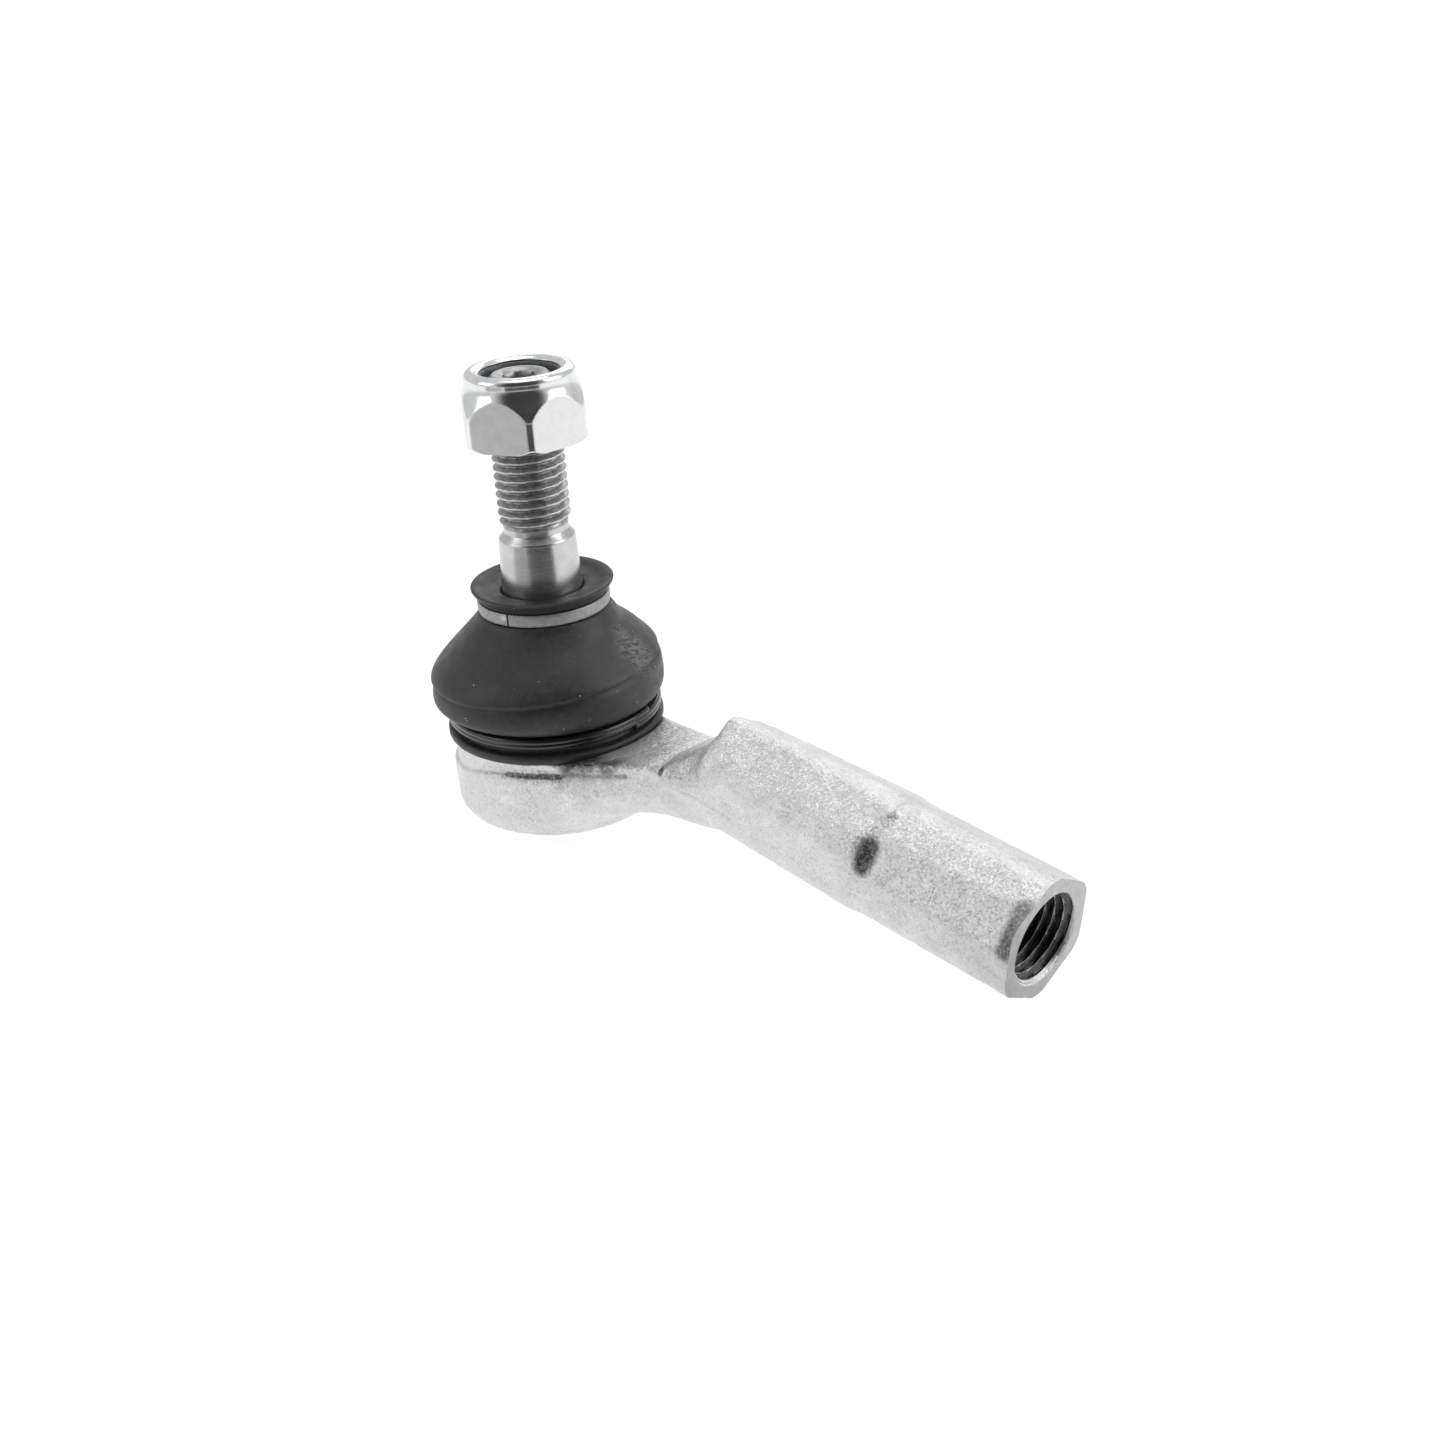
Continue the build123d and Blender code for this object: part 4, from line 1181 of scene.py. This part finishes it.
def world(bright, dark, inner, outer):
    """White tent with a dark opening on one side, and plain white where the camera sees past the floor."""
    w = bpy.data.worlds.new("studio")
    bpy.context.scene.world = w
    w.use_nodes = True
    tree = w.node_tree
    node = shader_nodes(tree)
    coord = node("ShaderNodeTexCoord")
    dot = node("ShaderNodeVectorMath", operation="DOT_PRODUCT")
    dot.inputs[1].default_value = CAMERA_SIDE
    shade = node("ShaderNodeMapRange", interpolation_type="SMOOTHSTEP")
    shade.inputs["From Min"].default_value = math.cos(outer)
    shade.inputs["From Max"].default_value = math.cos(inner)
    shade.inputs["To Min"].default_value = bright
    shade.inputs["To Max"].default_value = dark
    tent = node("ShaderNodeBackground")
    paper = node("ShaderNodeBackground", Color=(1, 1, 1, 1), Strength=1.0)
    path = node("ShaderNodeLightPath")
    mix = node("ShaderNodeMixShader")
    out = node("ShaderNodeOutputWorld")
    tree.links.new(coord.outputs["Generated"], dot.inputs[0])
    tree.links.new(dot.outputs["Value"], shade.inputs["Value"])
    tree.links.new(shade.outputs["Result"], tent.inputs["Color"])
    tree.links.new(path.outputs["Is Camera Ray"], mix.inputs["Fac"])
    tree.links.new(tent.outputs[0], mix.inputs[1])
    tree.links.new(paper.outputs[0], mix.inputs[2])
    tree.links.new(mix.outputs[0], out.inputs["Surface"])


def camera():
    yaw, pitch, roll = math.radians(45.54), math.radians(25.52), math.radians(3.75)
    forward = Vector((-math.sin(yaw) * math.cos(pitch), math.cos(yaw) * math.cos(pitch), -math.sin(pitch)))
    level = Vector((math.cos(yaw), math.sin(yaw), 0))
    down = forward.cross(level)
    right = math.cos(roll) * level + math.sin(roll) * down
    down = -math.sin(roll) * level + math.cos(roll) * down
    data = bpy.data.cameras.new("camera")
    data.sensor_width = 36
    data.lens = 44.62
    obj = new_object("camera", data)
    m = Matrix((right, -down, -forward)).transposed().to_4x4()
    m.translation = Vector((219.55, -175.66, 132.2)) * MM
    obj.matrix_world = m
    bpy.context.scene.camera = obj


bpy.context.scene.view_settings.view_transform = "Standard"
floor()
floor_flag("dark_flag", 70, 60, 0.06, 34, 2)
floor_flag("grey_flag", 70, 60, 0.50, 17, -55)
world(0.66, 0.05, math.radians(28), math.radians(58))
CENTRE = (30, 0, 15)
softbox("left_box", (-260, -480, 330), CENTRE, 320, 320, 1.15)
softbox("right_box", (480, 330, 330), CENTRE, 360, 360, 2.4)
softbox("back_box", (-260, 420, 300), CENTRE, 360, 300, 1.1)
softbox("top_box", (40, 60, 620), CENTRE, 440, 440, 1.5)
camera()
